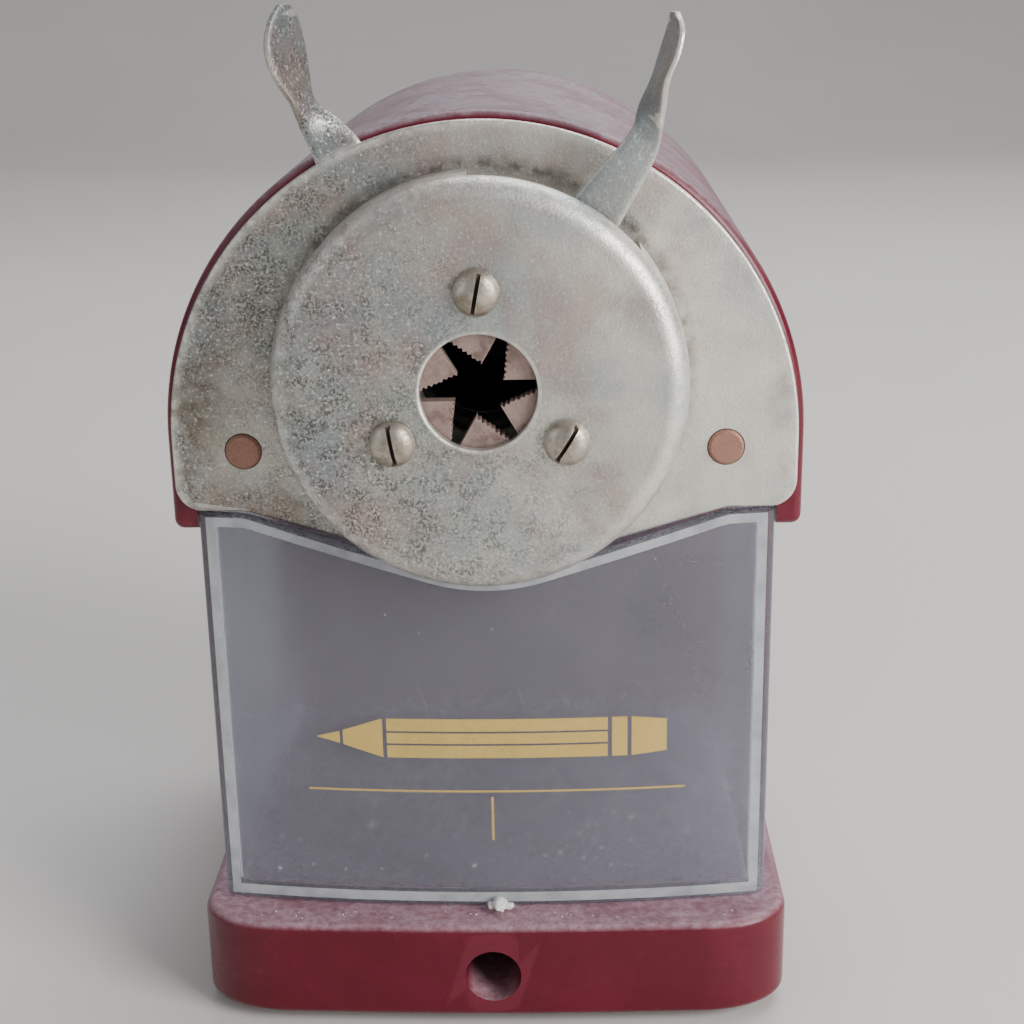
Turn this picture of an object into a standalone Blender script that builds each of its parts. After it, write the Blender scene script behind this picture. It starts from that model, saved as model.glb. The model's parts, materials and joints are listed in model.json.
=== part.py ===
"""Desk pencil sharpener with a hand crank, an iris chuck on a sprung carriage and a clear shavings drawer.

Metres, +Z up. The origin is the centre of the rubber pad under the base, and the pencil goes in along +Y.
"""

import math

import bmesh
import bpy
from mathutils import Matrix, Vector
from mathutils.geometry import convex_hull_2d

# ---------------------------------------------------------------- driving dimensions
GAP = 0.0003                 # air between pieces that touch on the real object
FRONT_Y = -0.031             # front face of the sliding front plate
ARCH_Z = 0.0749              # centre of the arched top
ARCH_R = 0.0375              # outside of the housing's arch
WALL = 0.0026                # housing wall
HOUSING_FRONT_Y = FRONT_Y + 0.0015
HOUSING_BACK_Y = FRONT_Y + 0.0690
SKIRT_Z = 0.0636             # lower edge of the side skirts
SKIRT_INNER_X = 0.0345
COLUMN_FRONT_Y = FRONT_Y + 0.0570
AXIS_Z = 0.0829              # pencil and crank axis

BASE_X = 0.0370              # half width of the base
BASE_FRONT_Y = -0.0380
BASE_BACK_Y = 0.0385
BASE_TOP_Z = 0.0142
PAD_T = 0.0012
BASE_BOTTOM_Z = PAD_T + GAP
CLAMP_HOLE_R = 0.0035
CLAMP_HOLE_Z = 0.0074
CLAMP_SLEEVE_BACK_Y = BASE_FRONT_Y + 0.030

DRAWER_X = 0.0342            # half width of the drawer
DRAWER_Z = BASE_TOP_Z + GAP
DRAWER_TOP_Z = 0.0659
DRAWER_FRONT_Y = FRONT_Y + 0.0003
DRAWER_BACK_Y = FRONT_Y + 0.0552
DRAWER_BULGE = 0.0027
DRAWER_WALL = 0.0017
DRAWER_BACK_TOP_Z = 0.0560

PLATE_T = 0.0012
PLATE_R = 0.0366
VEE_SLOPE = math.tan(math.radians(16.7))
VEE_R = 0.0240               # the plate's lower edges are tangent to this circle round the axis
PLATE_CORNER_Z = 0.0664
PLATE_CORNER_R = 0.0032

COVER_R = 0.0234
COVER_DEPTH = 0.0095
COVER_T = 0.0009
COVER_SHOULDER = 0.0026
PENCIL_R = 0.0065            # hole for the pencil
POST_R_AT = 0.0112           # circle of the jaw pivots and cover screws
SCREW_R = 0.0013
SCREW_ANGLES = (90, 210, 330)
SLOT_ANGLES = (79, 100, 58)  # how each screw's slot happens to stand
PIN_ANGLES = (30, 150, 270)
WINDOW = (40, 93)            # the lever's window in the cover's wall, in degrees
PLATE_HOLE_R = 0.0074

JAW_FRONT_Y = FRONT_Y - COVER_DEPTH + COVER_T + GAP
JAW_T = 0.0018
JAW_TIP_R = 0.0029
RING_T = 0.0012
RING_FRONT_Y = JAW_FRONT_Y + JAW_T + GAP
RING_R = 0.0219
RING_BORE_R = 0.0069
DRIVE_PIN_AT = 0.0039        # from the pivot towards the pencil axis
DRIVE_PIN_R = 0.00075
PIN_BEARING = 228            # direction from the pivot to the drive pin in the first jaw, in degrees
HOOP_R = 0.0180              # return spring behind the ring
HOOP_WIRE_R = 0.0005
LEVER_TRAVEL = math.radians(28)
JAW_TRAVEL = math.radians(36)

ROD_X = 0.0282
ROD_Z = ARCH_Z - 0.0011
ROD_R = 0.0021
ROD_END_Y = FRONT_Y + 0.0600
SPRING_R = 0.0033
SPRING_WIRE_R = 0.00042
SPRING_TURNS = 11
BULKHEAD_Y = FRONT_Y + 0.0040
BULKHEAD_T = 0.0025

CONE = math.radians(11.5)    # half angle of the sharpened point
CUTTER_R = 0.0062
POINT_Y = FRONT_Y + 0.0440   # where the pencil's point ends up
APEX_Y = POINT_Y + CUTTER_R / math.sin(CONE)
RING_TEETH = 18
PINION_TEETH = 9
GEAR_Y = FRONT_Y + 0.0515
GEAR_W = 0.0040
AXLE_R = 0.0015
AXLE_HOLE_R = AXLE_R + 0.00025
CUTTER_FRONT_Y = FRONT_Y + 0.0150
CUTTER_BACK_Y = POINT_Y + 0.0010
CARRIER_R = 0.0195
CARRIER_FRONT_Y = FRONT_Y + 0.0100
CARRIER_BACK_Y = FRONT_Y + 0.0600

CAP_R = 0.0215
CAP_SPIGOT_R = 0.0172
CAP_SCREW_X = 0.0196
BOSS_Y = HOUSING_BACK_Y - 0.0061
BOSS_X = 0.0240
BOSS_R = 0.0036
BOSS_TOP_Z = 0.0340

SHAFT_R = 0.0024
CRANK_LENGTH = 0.0380
CRANK_ARM_Y = FRONT_Y + 0.0790
CRANK_ARM_T = 0.0022
KNOB_Y = CRANK_ARM_Y + CRANK_ARM_T + GAP
KNOB_L = 0.0240

FACETS = 40                  # sides of a large round piece
SMALL_FACETS = 14            # sides of a pin or screw


# ---------------------------------------------------------------- materials
def material(name, colour, roughness, metallic=0.0, alpha=1.0):
    made = bpy.data.materials.new(name)
    made.use_nodes = True
    shader = made.node_tree.nodes["Principled BSDF"]
    shader.inputs["Base Color"].default_value = (*colour, 1.0)
    shader.inputs["Roughness"].default_value = roughness
    shader.inputs["Metallic"].default_value = metallic
    shader.inputs["Alpha"].default_value = alpha
    return made


# ---------------------------------------------------------------- modelling helpers
def add(name, bm, paint=None):
    """The bmesh as a named object, with its faces turned outwards."""
    bmesh.ops.recalc_face_normals(bm, faces=bm.faces)
    mesh = bpy.data.meshes.new(name)
    bm.to_mesh(mesh)
    bm.free()
    obj = bpy.data.objects.new(name, mesh)
    bpy.context.scene.collection.objects.link(obj)
    if paint:
        mesh.materials.append(paint)
        mesh.shade_smooth()
        mesh.set_sharp_from_angle(angle=math.radians(35))
    return obj


def prism(name, outline, y0, y1, paint=None):
    """An outline of (x, z) points, extruded from y0 to y1."""
    bm = bmesh.new()
    face = bm.faces.new([bm.verts.new((x, y0, z)) for x, z in outline])
    pushed = bmesh.ops.extrude_face_region(bm, geom=[face])
    moved = [v for v in pushed["geom"] if isinstance(v, bmesh.types.BMVert)]
    bmesh.ops.translate(bm, verts=moved, vec=(0, y1 - y0, 0))
    return add(name, bm, paint)


def slab(name, outline, z0, z1, paint=None):
    """An outline of (x, y) points, extruded from z0 to z1."""
    bm = bmesh.new()
    face = bm.faces.new([bm.verts.new((x, y, z0)) for x, y in outline])
    pushed = bmesh.ops.extrude_face_region(bm, geom=[face])
    moved = [v for v in pushed["geom"] if isinstance(v, bmesh.types.BMVert)]
    bmesh.ops.translate(bm, verts=moved, vec=(0, 0, z1 - z0))
    return add(name, bm, paint)


def box(name, low, high, paint=None):
    corners = [(low[0], low[2]), (high[0], low[2]), (high[0], high[2]), (low[0], high[2])]
    return prism(name, corners, low[1], high[1], paint)


def turned(name, profile, paint=None, x=0.0, z=AXIS_Z, facets=FACETS):
    """A closed profile of (radius, y) points, spun round the line through (x, z) along Y."""
    bm = bmesh.new()
    ring = [bm.verts.new((x + r, y, z)) for r, y in profile]
    radii = [r for r, _ in profile]
    pairs = zip(zip(ring, ring[1:] + ring[:1]), zip(radii, radii[1:] + radii[:1]))
    edges = [bm.edges.new(ends) for ends, r in pairs if max(r) > 0]
    bmesh.ops.spin(bm, geom=ring + edges, cent=(x, 0, z), axis=(0, 1, 0),
                   angle=math.tau, steps=facets, use_merge=True)
    bmesh.ops.remove_doubles(bm, verts=bm.verts, dist=1e-6)
    return add(name, bm, paint)


def rod(name, radius, y0, y1, paint=None, x=0.0, z=AXIS_Z, facets=FACETS):
    return turned(name, [(0, y0), (radius, y0), (radius, y1), (0, y1)], paint, x, z, facets)


def tube(name, outer, inner, y0, y1, paint=None, x=0.0, z=AXIS_Z, facets=FACETS):
    return turned(name, [(inner, y0), (outer, y0), (outer, y1), (inner, y1)], paint, x, z, facets)


def boolean(target, operation, tools):
    for tool in tools:
        tool.hide_render = True
        tool.display_type = "WIRE"
        modifier = target.modifiers.new(operation.title(), "BOOLEAN")
        modifier.operation = operation
        modifier.object = tool
    return target


def cut(target, *tools):
    return boolean(target, "DIFFERENCE", tools)


def join(target, *tools):
    return boolean(target, "UNION", tools)


def bevel(obj, width, segments=2, angle=40):
    modifier = obj.modifiers.new("Bevel", "BEVEL")
    modifier.width = width
    modifier.segments = segments
    modifier.limit_method = "ANGLE"
    modifier.angle_limit = math.radians(angle)
    return obj


def arc(centre, radius, start, stop, steps):
    """Points on a circle, from one angle to another in degrees."""
    angles = [math.radians(start + (stop - start) * i / steps) for i in range(steps + 1)]
    return [(centre[0] + radius * math.cos(a), centre[1] + radius * math.sin(a)) for a in angles]


def on_axis(radius, degrees):
    """The (x, z) of a point at a radius and an angle round the pencil axis."""
    a = math.radians(degrees)
    return radius * math.cos(a), AXIS_Z + radius * math.sin(a)


def ribbon(name, stations, steps=3):
    """A bent strip. Each station is (centre, width direction, width, thickness direction, thickness)."""
    keys = [[Vector(c), Vector(w).normalized() * wide / 2, Vector(t).normalized() * thick / 2]
            for c, w, wide, t, thick in stations]
    sections = []
    for i in range(len(keys) - 1):
        before, after = keys[max(i - 1, 0)], keys[min(i + 2, len(keys) - 1)]
        for s in range(steps):
            f = s / steps
            sections.append([catmull(before[k], keys[i][k], keys[i + 1][k], after[k], f) for k in range(3)])
    sections.append(keys[-1])
    bm = bmesh.new()
    rings = []
    for centre, wide, thick in sections:
        signs = ((-1, -0.4), (-0.7, -1), (0.7, -1), (1, -0.4), (1, 0.4), (0.7, 1), (-0.7, 1), (-1, 0.4))
        rings.append([bm.verts.new(centre + wide * a + thick * b) for a, b in signs])
    for first, second in zip(rings, rings[1:]):
        for k in range(len(first)):
            n = (k + 1) % len(first)
            bm.faces.new((first[k], first[n], second[n], second[k]))
    bm.faces.new(rings[0])
    bm.faces.new(rings[-1])
    return add(name, bm)


def catmull(a, b, c, d, f):
    return 0.5 * (2 * b + (c - a) * f + (2 * a - 5 * b + 4 * c - d) * f * f + (3 * b - a - 3 * c + d) * f ** 3)


def wire(name, points, radius, paint, sides=6):
    """A round wire through the points, as a bevelled curve with closed ends."""
    curve = bpy.data.curves.new(name, "CURVE")
    curve.dimensions = "3D"
    curve.bevel_depth = radius
    curve.bevel_resolution = max(0, sides // 2 - 2)
    curve.use_fill_caps = True
    spline = curve.splines.new("POLY")
    spline.points.add(len(points) - 1)
    for point, place in zip(spline.points, points):
        point.co = (*place, 1)
    obj = bpy.data.objects.new(name, curve)
    bpy.context.scene.collection.objects.link(obj)
    curve.materials.append(paint)
    return obj


# ---------------------------------------------------------------- shared outlines
def vee_z(x, drop=0.0):
    """Height of the plate's lower edge at x, or a line parallel to it and lower by drop."""
    line = AXIS_Z - VEE_R / math.cos(math.atan(VEE_SLOPE)) + VEE_SLOPE * abs(x)
    round_end = VEE_R * math.sin(math.atan(VEE_SLOPE))
    if abs(x) < round_end:
        line = AXIS_Z - math.sqrt(VEE_R ** 2 - x * x)
    return min(line, PLATE_CORNER_Z) - drop


def arch_outline(radius, half_width, floor_z, steps=28):
    """Vertical sides and a round top, as a closed (x, z) outline."""
    spring_z = ARCH_Z - 0.001
    right = [(half_width, floor_z), (half_width, spring_z)]
    left = [(-half_width, spring_z), (-half_width, floor_z)]
    return right + arc((0, ARCH_Z), radius, 0, 180, steps) + left


def vee_points(drop, half_width, steps=16):
    """The plate's lower edge from the right corner to the left, as (x, z) points."""
    xs = [half_width * (1 - 2 * i / steps) for i in range(steps + 1)]
    return [(x, vee_z(x, drop)) for x in xs]


# ---------------------------------------------------------------- housing and base
def housing(paint):
    outside = arch_outline(ARCH_R, ARCH_R, BASE_TOP_Z + GAP)
    shell = prism("housing_shell", outside, HOUSING_FRONT_Y, HOUSING_BACK_Y, paint)
    drawer_bay = box("drawer_bay", (-ARCH_R - 0.005, HOUSING_FRONT_Y - 0.005, BASE_TOP_Z - 0.005),
                     (ARCH_R + 0.005, COLUMN_FRONT_Y, SKIRT_Z))
    cut(shell, drawer_bay)
    bevel(shell, 0.0012, 2, 60)
    inner = arch_outline(ARCH_R - WALL, SKIRT_INNER_X, SKIRT_Z - 0.02)
    front_recess = prism("front_recess", inner, HOUSING_FRONT_Y - 0.005, BULKHEAD_Y)
    room = prism("room", inner, BULKHEAD_Y + BULKHEAD_T, COLUMN_FRONT_Y)
    rear_room = prism("rear_room", arch_outline(ARCH_R - WALL, SKIRT_INNER_X, 0.0662),
                      COLUMN_FRONT_Y - 0.001, HOUSING_BACK_Y - WALL)
    column_room = box("column_room", (-SKIRT_INNER_X, COLUMN_FRONT_Y + WALL, BASE_TOP_Z - 0.005),
                      (SKIRT_INNER_X, HOUSING_BACK_Y - WALL, 0.0640))
    below = [(0.0345, 0.05)] + vee_points(-0.0006, SKIRT_INNER_X) + [(-0.0345, 0.05)]
    under_bulkhead = prism("under_bulkhead", below, BULKHEAD_Y - 0.001, BULKHEAD_Y + BULKHEAD_T + 0.001)
    guide_hole = rod("guide_hole", 0.0090, BULKHEAD_Y - 0.002, BULKHEAD_Y + 0.005)
    rear_hole = rod("rear_hole", CAP_SPIGOT_R + GAP, COLUMN_FRONT_Y - 0.003, HOUSING_BACK_Y + 0.003)
    cap_holes = [rod(f"cap_hole_{side}", 0.0009, HOUSING_BACK_Y - 0.006, HOUSING_BACK_Y + 0.003,
                     x=side * CAP_SCREW_X, facets=SMALL_FACETS) for side in (-1, 1)]
    rod_holes = [rod(f"rod_hole_{side}", ROD_R + GAP, BULKHEAD_Y - 0.002, BULKHEAD_Y + 0.005,
                     x=side * ROD_X, z=ROD_Z, facets=20) for side in (-1, 1)]
    cut(shell, front_recess, room, rear_room, column_room, under_bulkhead, guide_hole, rear_hole,
        *cap_holes, *rod_holes)
    bosses = [upright(f"boss_{side}", BOSS_R, BASE_TOP_Z + GAP, BOSS_TOP_Z, side * BOSS_X, BOSS_Y)
              for side in (-1, 1)]
    join(shell, *bosses)
    holes = [upright(f"boss_hole_{side}", 0.0013, BASE_TOP_Z - 0.002, BOSS_TOP_Z - 0.004, side * BOSS_X, BOSS_Y)
             for side in (-1, 1)]
    return cut(shell, *holes)


def upright(name, radius, z0, z1, x, y, paint=None, facets=SMALL_FACETS):
    """A cylinder that stands along Z."""
    return slab(name, arc((x, y), radius, 0, 360 * (facets - 1) / facets, facets - 1), z0, z1, paint)


def base_outline(inset=0.0):
    """Plan of the base: straight back and sides, full round front corners and a slightly bowed front."""
    x, front, back = BASE_X - inset, BASE_FRONT_Y + inset, BASE_BACK_Y - inset
    corner_x, corner_y = 0.0115 - inset, 0.0075 - inset
    right = [(x - corner_x + corner_x * math.cos(math.radians(a)), front + 0.0006 + corner_y
              - corner_y * math.sin(math.radians(a))) for a in range(0, 91, 15)]
    left = [(-px, py) for px, py in reversed(right)]
    return [(x, back)] + right + [(0, front)] + left + [(-x, back)]


def base(paint):
    block = slab("base", base_outline(), BASE_BOTTOM_Z, BASE_TOP_Z, paint)
    bevel(block, 0.0011, 2, 50)
    pocket = slab("base_pocket", base_outline(0.0028), BASE_BOTTOM_Z - 0.004, BASE_TOP_Z - 0.0024)
    cut(block, pocket)
    sleeve = rod("clamp_sleeve", CLAMP_HOLE_R + 0.0018, BASE_FRONT_Y + 0.001, CLAMP_SLEEVE_BACK_Y,
                 z=CLAMP_HOLE_Z, facets=24)
    rib = box("sleeve_rib", (-0.001, BASE_FRONT_Y + 0.001, CLAMP_HOLE_Z),
              (0.001, CLAMP_SLEEVE_BACK_Y, BASE_TOP_Z - 0.001))
    join(block, sleeve, rib)
    bore = rod("clamp_bore", CLAMP_HOLE_R, BASE_FRONT_Y - 0.004, CLAMP_SLEEVE_BACK_Y + 0.004,
               z=CLAMP_HOLE_Z, facets=24)
    screw_holes = [upright(f"base_screw_hole_{side}", 0.0019, 0.008, BASE_TOP_Z + 0.004, side * BOSS_X, BOSS_Y)
                   for side in (-1, 1)]
    return cut(block, bore, *screw_holes)


def base_screw(name, x, paint):
    """Pan-head screw from the base's pocket up into the housing's boss."""
    shoulder = BASE_TOP_Z - 0.0024 - GAP
    profile = [(0, 0.0095), (0.0027, 0.0095), (0.0029, 0.0100), (0.0029, shoulder), (0.0010, shoulder),
               (0.0010, 0.0280), (0, 0.0280)]
    screw = turned(name, profile, paint, z=0.0, facets=SMALL_FACETS)
    screw.data.transform(Matrix.Translation((x, BOSS_Y, 0)) @ Matrix.Rotation(math.radians(90), 4, "X"))
    return screw


def base_pad(paint):
    return slab("base_pad", base_outline(0.0040), 0.0, PAD_T, paint)


# ---------------------------------------------------------------- drawer
def drawer_outline(inset=0.0):
    """Plan of the drawer, with a front that bows out in the middle."""
    x, back = DRAWER_X - inset, DRAWER_BACK_Y - inset
    radius = (x * x + DRAWER_BULGE ** 2) / (2 * DRAWER_BULGE)
    steps = 12
    bowed = []
    for i in range(steps + 1):
        px = x * (1 - 2 * i / steps)
        depth = math.sqrt(radius ** 2 - px * px) - math.sqrt(radius ** 2 - x * x)
        bowed.append((px, DRAWER_FRONT_Y + inset - depth))
    return [(x, back)] + bowed + [(-x, back)]


def drawer(paint):
    tray = slab("shavings_drawer", drawer_outline(), DRAWER_Z, DRAWER_TOP_Z + 0.001, paint)
    bevel(tray, 0.0008, 1, 60)
    hollow = slab("drawer_hollow", drawer_outline(DRAWER_WALL), DRAWER_Z + DRAWER_WALL, DRAWER_TOP_Z + 0.01)
    above = vee_points(0.0006, 0.0380) + [(-0.0380, 0.09), (0.0380, 0.09)]
    front_vee = prism("front_vee", above, FRONT_Y - 0.010, FRONT_Y + 0.0050)
    side_trim = box("side_trim", (-0.05, FRONT_Y + 0.004, DRAWER_TOP_Z), (0.05, FRONT_Y + 0.07, 0.09))
    back_low = box("back_low", (-DRAWER_X + 0.004, DRAWER_BACK_Y - 0.006, DRAWER_BACK_TOP_Z),
                   (DRAWER_X - 0.004, DRAWER_BACK_Y + 0.006, 0.09))
    return cut(tray, hollow, front_vee, side_trim, back_low)


# ---------------------------------------------------------------- carriage: plate, cover, rods
def plate_outline():
    """Arched plate: round top, straight sides, rounded corners and a shallow vee below."""
    corner = (PLATE_R - PLATE_CORNER_R, PLATE_CORNER_Z + PLATE_CORNER_R)
    right = arc(corner, PLATE_CORNER_R, -80, 0, 5)
    top = arc((0, ARCH_Z), PLATE_R, 0, 180, 30)
    left = [(-x, z) for x, z in reversed(right)]
    lower = [(x, z) for x, z in reversed(vee_points(0, 0.0310, 18))]
    return right + top + left + lower


def front_plate(paint):
    plate = prism("front_plate", plate_outline(), FRONT_Y, FRONT_Y + PLATE_T, paint)
    plane_y = FRONT_Y + PLATE_T / 2
    side, face = (0.94, 0.0, 0.34), (0, 1, 0)
    leaf, leaf_face = (0.34, 0.94, 0), (-0.94, 0.34, 0)
    thick = PLATE_T * 0.88
    finger = ribbon("left_finger", [
        ((-0.0138, plane_y, 0.1030), side, 0.0068, face, thick),
        ((-0.0153, plane_y, 0.1078), side, 0.0058, face, thick),
        ((-0.0173, plane_y - 0.0004, 0.1112), (0.8, 0.45, 0.2), 0.0048, (-0.45, 0.89, 0), thick),
        ((-0.0189, plane_y - 0.0014, 0.1137), leaf, 0.0052, leaf_face, thick),
        ((-0.0199, plane_y - 0.0024, 0.1169), leaf, 0.0080, leaf_face, thick),
        ((-0.0203, plane_y - 0.0028, 0.1198), leaf, 0.0086, leaf_face, thick),
        ((-0.0203, plane_y - 0.0028, 0.1224), leaf, 0.0064, leaf_face, thick),
        ((-0.0202, plane_y - 0.0028, 0.1241), leaf, 0.0024, leaf_face, thick * 0.8),
    ])
    join(plate, finger)
    pencil_hole = rod("plate_pencil_hole", PLATE_HOLE_R, FRONT_Y - 0.003, FRONT_Y + 0.004)
    post_holes = [rod(f"plate_post_hole_{a}", SCREW_R + GAP, FRONT_Y - 0.003, FRONT_Y + 0.004,
                      x=on_axis(POST_R_AT, a)[0], z=on_axis(POST_R_AT, a)[1], facets=SMALL_FACETS)
                  for a in SCREW_ANGLES + PIN_ANGLES]
    rod_holes = [rod(f"plate_rod_hole_{side}", ROD_R + GAP, FRONT_Y - 0.003, FRONT_Y + 0.004,
                     x=side * ROD_X, z=ROD_Z, facets=20) for side in (-1, 1)]
    return cut(plate, pencil_hole, *post_holes, *rod_holes)


def chuck_cover(paint):
    """Deep-drawn cup over the chuck, with a rounded shoulder and a window for the lever."""
    front, back = FRONT_Y - COVER_DEPTH, FRONT_Y - GAP
    bend_r = COVER_R - COVER_SHOULDER
    hollow_r = COVER_SHOULDER - COVER_T
    outer = arc((bend_r, front + COVER_SHOULDER), COVER_SHOULDER, -90, 0, 5)
    inner = arc((bend_r, front + COVER_SHOULDER), hollow_r, 0, -90, 3)
    profile = [(PENCIL_R, front)] + outer + [(COVER_R, back), (COVER_R - COVER_T, back)] + inner
    profile += [(PENCIL_R, front + COVER_T)]
    cup = turned("chuck_cover", profile, paint, facets=48)
    outline = arc((0, AXIS_Z), COVER_R + 0.003, WINDOW[0], WINDOW[1], 6)
    outline += arc((0, AXIS_Z), COVER_R - 0.003, WINDOW[1], WINDOW[0], 6)
    window = prism("lever_window", outline, RING_FRONT_Y - 0.0007, FRONT_Y + 0.001)
    holes = [rod(f"cover_hole_{a}", SCREW_R + GAP, front - 0.003, front + 0.003, x=on_axis(POST_R_AT, a)[0],
                 z=on_axis(POST_R_AT, a)[1], facets=SMALL_FACETS) for a in SCREW_ANGLES]
    return cut(cup, window, *holes)


def cover_screw(name, angle, slot_angle, paint):
    """Slotted pan-head screw whose shank is the pivot of one jaw."""
    x, z = on_axis(POST_R_AT, angle)
    face = FRONT_Y - COVER_DEPTH - GAP
    head = [(0, face - 0.0016), (0.0012, face - 0.0015), (0.0021, face - 0.0011), (0.0026, face - 0.0004),
            (0.0026, face)]
    shank = [(SCREW_R, face), (SCREW_R, FRONT_Y + PLATE_T), (0, FRONT_Y + PLATE_T)]
    screw = turned(name, head + shank, paint, x, z, 16)
    slot = box(name + "_slot", (-0.004, face - 0.0030, -0.0003), (0.004, face - 0.0007, 0.0003))
    slot.matrix_world = Matrix.Translation((x, 0, z)) @ Matrix.Rotation(math.radians(-slot_angle), 4, "Y")
    return cut(screw, slot)


def pivot_pin(name, angle, paint):
    """Plain pin riveted in the front plate, the pivot of one jaw that has no screw."""
    x, z = on_axis(POST_R_AT, angle)
    back = FRONT_Y + PLATE_T
    profile = [(0, JAW_FRONT_Y), (SCREW_R, JAW_FRONT_Y), (SCREW_R, back), (0, back)]
    return turned(name, profile, paint, x, z, SMALL_FACETS)


def guide_rod(name, side, paint):
    """Rod riveted in the plate, with a groove for its collar at the far end."""
    groove = ROD_R - 0.0006
    profile = [(0, FRONT_Y - 0.0004), (ROD_R - 0.0003, FRONT_Y - 0.0004), (ROD_R, FRONT_Y - 0.0001),
               (ROD_R, ROD_END_Y - 0.0030), (groove, ROD_END_Y - 0.0030), (groove, ROD_END_Y - 0.0016),
               (ROD_R, ROD_END_Y - 0.0016), (ROD_R, ROD_END_Y), (0, ROD_END_Y)]
    return turned(name, profile, paint, side * ROD_X, ROD_Z, 20)


def rod_collar(name, side, paint):
    """Snap ring in the rod's groove, which the carriage spring pushes on."""
    x = side * ROD_X
    return tube(name, 0.0042, ROD_R - 0.0003, ROD_END_Y - 0.0027, ROD_END_Y - 0.0019, paint, x, ROD_Z, 20)


def helix(radius, y0, y1, turns, x, z, per_turn=10):
    count = turns * per_turn
    return [(x + radius * math.cos(math.tau * i / per_turn), y0 + (y1 - y0) * i / count,
             z + radius * math.sin(math.tau * i / per_turn)) for i in range(count + 1)]


def carriage_spring(name, side, paint):
    start = BULKHEAD_Y + BULKHEAD_T + SPRING_WIRE_R + GAP
    stop = ROD_END_Y - 0.0027 - SPRING_WIRE_R - GAP
    return wire(name, helix(SPRING_R, start, stop, SPRING_TURNS, side * ROD_X, ROD_Z), SPRING_WIRE_R, paint)


# ---------------------------------------------------------------- chuck: jaws, ring and lever
def jaw_local():
    """One jaw's outline in its own frame, where its smooth edge runs along +x. The last corner is the tip."""
    tip = Vector((JAW_TIP_R * math.cos(math.radians(24)), JAW_TIP_R * math.sin(math.radians(24))))
    bite = Vector((math.cos(math.radians(84)), math.sin(math.radians(84))))
    inward = Vector((bite.y, -bite.x))
    teeth = []
    pitch, depth, count = 0.00062, 0.00026, 8
    for i in range(count):
        teeth.append(tip + bite * pitch * (i + 0.5) + inward * depth)
        teeth.append(tip + bite * pitch * (i + 1))
    corner = tip + bite * pitch * count
    pivot = Vector((POST_R_AT * math.cos(math.radians(30)), POST_R_AT * math.sin(math.radians(30))))
    around = [pivot + Vector((math.cos(math.radians(a)), math.sin(math.radians(a)))) * 0.0026
              for a in range(115, -66, -30)]
    root = Vector((0.0098, tip.y))
    points = [tip] + teeth + [corner + Vector((0.0012, 0.0010))] + around + [root]
    return points


def chuck_jaw(name, index, paint):
    """Serrated jaw with its pivot hole and the drive pin that the lever ring moves."""
    turn = Matrix.Rotation(math.radians(60 * index), 2)
    outline = [turn @ p for p in jaw_local()]
    jaw = prism(name, [(p.x, AXIS_Z + p.y) for p in outline], JAW_FRONT_Y, JAW_FRONT_Y + JAW_T, paint)
    x, z = drive_pin_path(60 * index, 0)
    pin_end = RING_FRONT_Y + RING_T + 0.0004
    pin = rod(name + "_pin", DRIVE_PIN_R, JAW_FRONT_Y + 0.0008, pin_end, x=x, z=z, facets=10)
    join(jaw, pin)
    x, z = on_axis(POST_R_AT, 30 + 60 * index)
    hole = rod(name + "_hole", SCREW_R + GAP, JAW_FRONT_Y - 0.002, JAW_FRONT_Y + 0.004, x=x, z=z,
               facets=SMALL_FACETS)
    return cut(jaw, hole)


def lever_ring(paint):
    """Ring that turns inside the cover, with six cam slots for the drive pins and the finger lever."""
    y0, y1 = RING_FRONT_Y, RING_FRONT_Y + RING_T
    ring = tube("lever_ring", RING_R, RING_BORE_R, y0, y1, paint, facets=48)
    mid = (y0 + y1) / 2
    arm = math.radians(55.5)
    out, along = (math.cos(arm), 0, math.sin(arm)), (-math.sin(arm), 0, math.cos(arm))

    def at(r):
        return (r * out[0], mid, AXIS_Z + r * out[2])

    leaf, leaf_face = (-0.14, 0.99, 0), (0.99, 0.14, 0)
    face = (0, 1, 0)
    thick = RING_T * 0.88
    finger = ribbon("right_finger", [
        (at(0.0190), along, 0.0064, face, thick),
        (at(0.0250), along, 0.0054, face, thick),
        (at(0.0318), along, 0.0038, face, thick),
        ((0.0190, mid + 0.0002, 0.1128), (-0.45, 0.85, 0.1), 0.0048, (0.85, 0.45, 0), thick),
        ((0.0199, mid + 0.0005, 0.1158), leaf, 0.0074, leaf_face, thick),
        ((0.0209, mid + 0.0008, 0.1186), leaf, 0.0086, leaf_face, thick),
        ((0.0215, mid + 0.0008, 0.1211), leaf, 0.0070, leaf_face, thick),
        ((0.0214, mid + 0.0008, 0.1228), leaf, 0.0028, leaf_face, thick * 0.8),
    ])
    join(ring, finger)
    cutters = []
    for k in range(6):
        places = [drive_pin_path(60 * k, LEVER_TRAVEL * (i / 6 * 1.06 - 0.03)) for i in range(7)]
        cutters.append(wrapped(f"cam_slot_{k}", places, DRIVE_PIN_R + 0.00015, y0 - 0.001, y1 + 0.001))
    for angle in SCREW_ANGLES + PIN_ANGLES:
        travel = math.degrees(LEVER_TRAVEL)
        places = arc((0, AXIS_Z), POST_R_AT, angle - travel - 1, angle + 1, 6)
        cutters.append(slot(f"post_slot_{angle}", places, SCREW_R + GAP, y0 - 0.001, y1 + 0.001))
    return cut(ring, *cutters)


def drive_pin_path(start, turned_by):
    """Where a jaw's drive pin is, as seen by the ring, once the ring has turned and the jaw with it."""
    travel = turned_by / LEVER_TRAVEL
    swing = math.radians(PIN_BEARING) - travel * JAW_TRAVEL
    x = POST_R_AT * math.cos(math.radians(30)) + DRIVE_PIN_AT * math.cos(swing)
    z = POST_R_AT * math.sin(math.radians(30)) + DRIVE_PIN_AT * math.sin(swing)
    back = math.radians(start) - turned_by
    return x * math.cos(back) - z * math.sin(back), AXIS_Z + x * math.sin(back) + z * math.cos(back)


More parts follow.
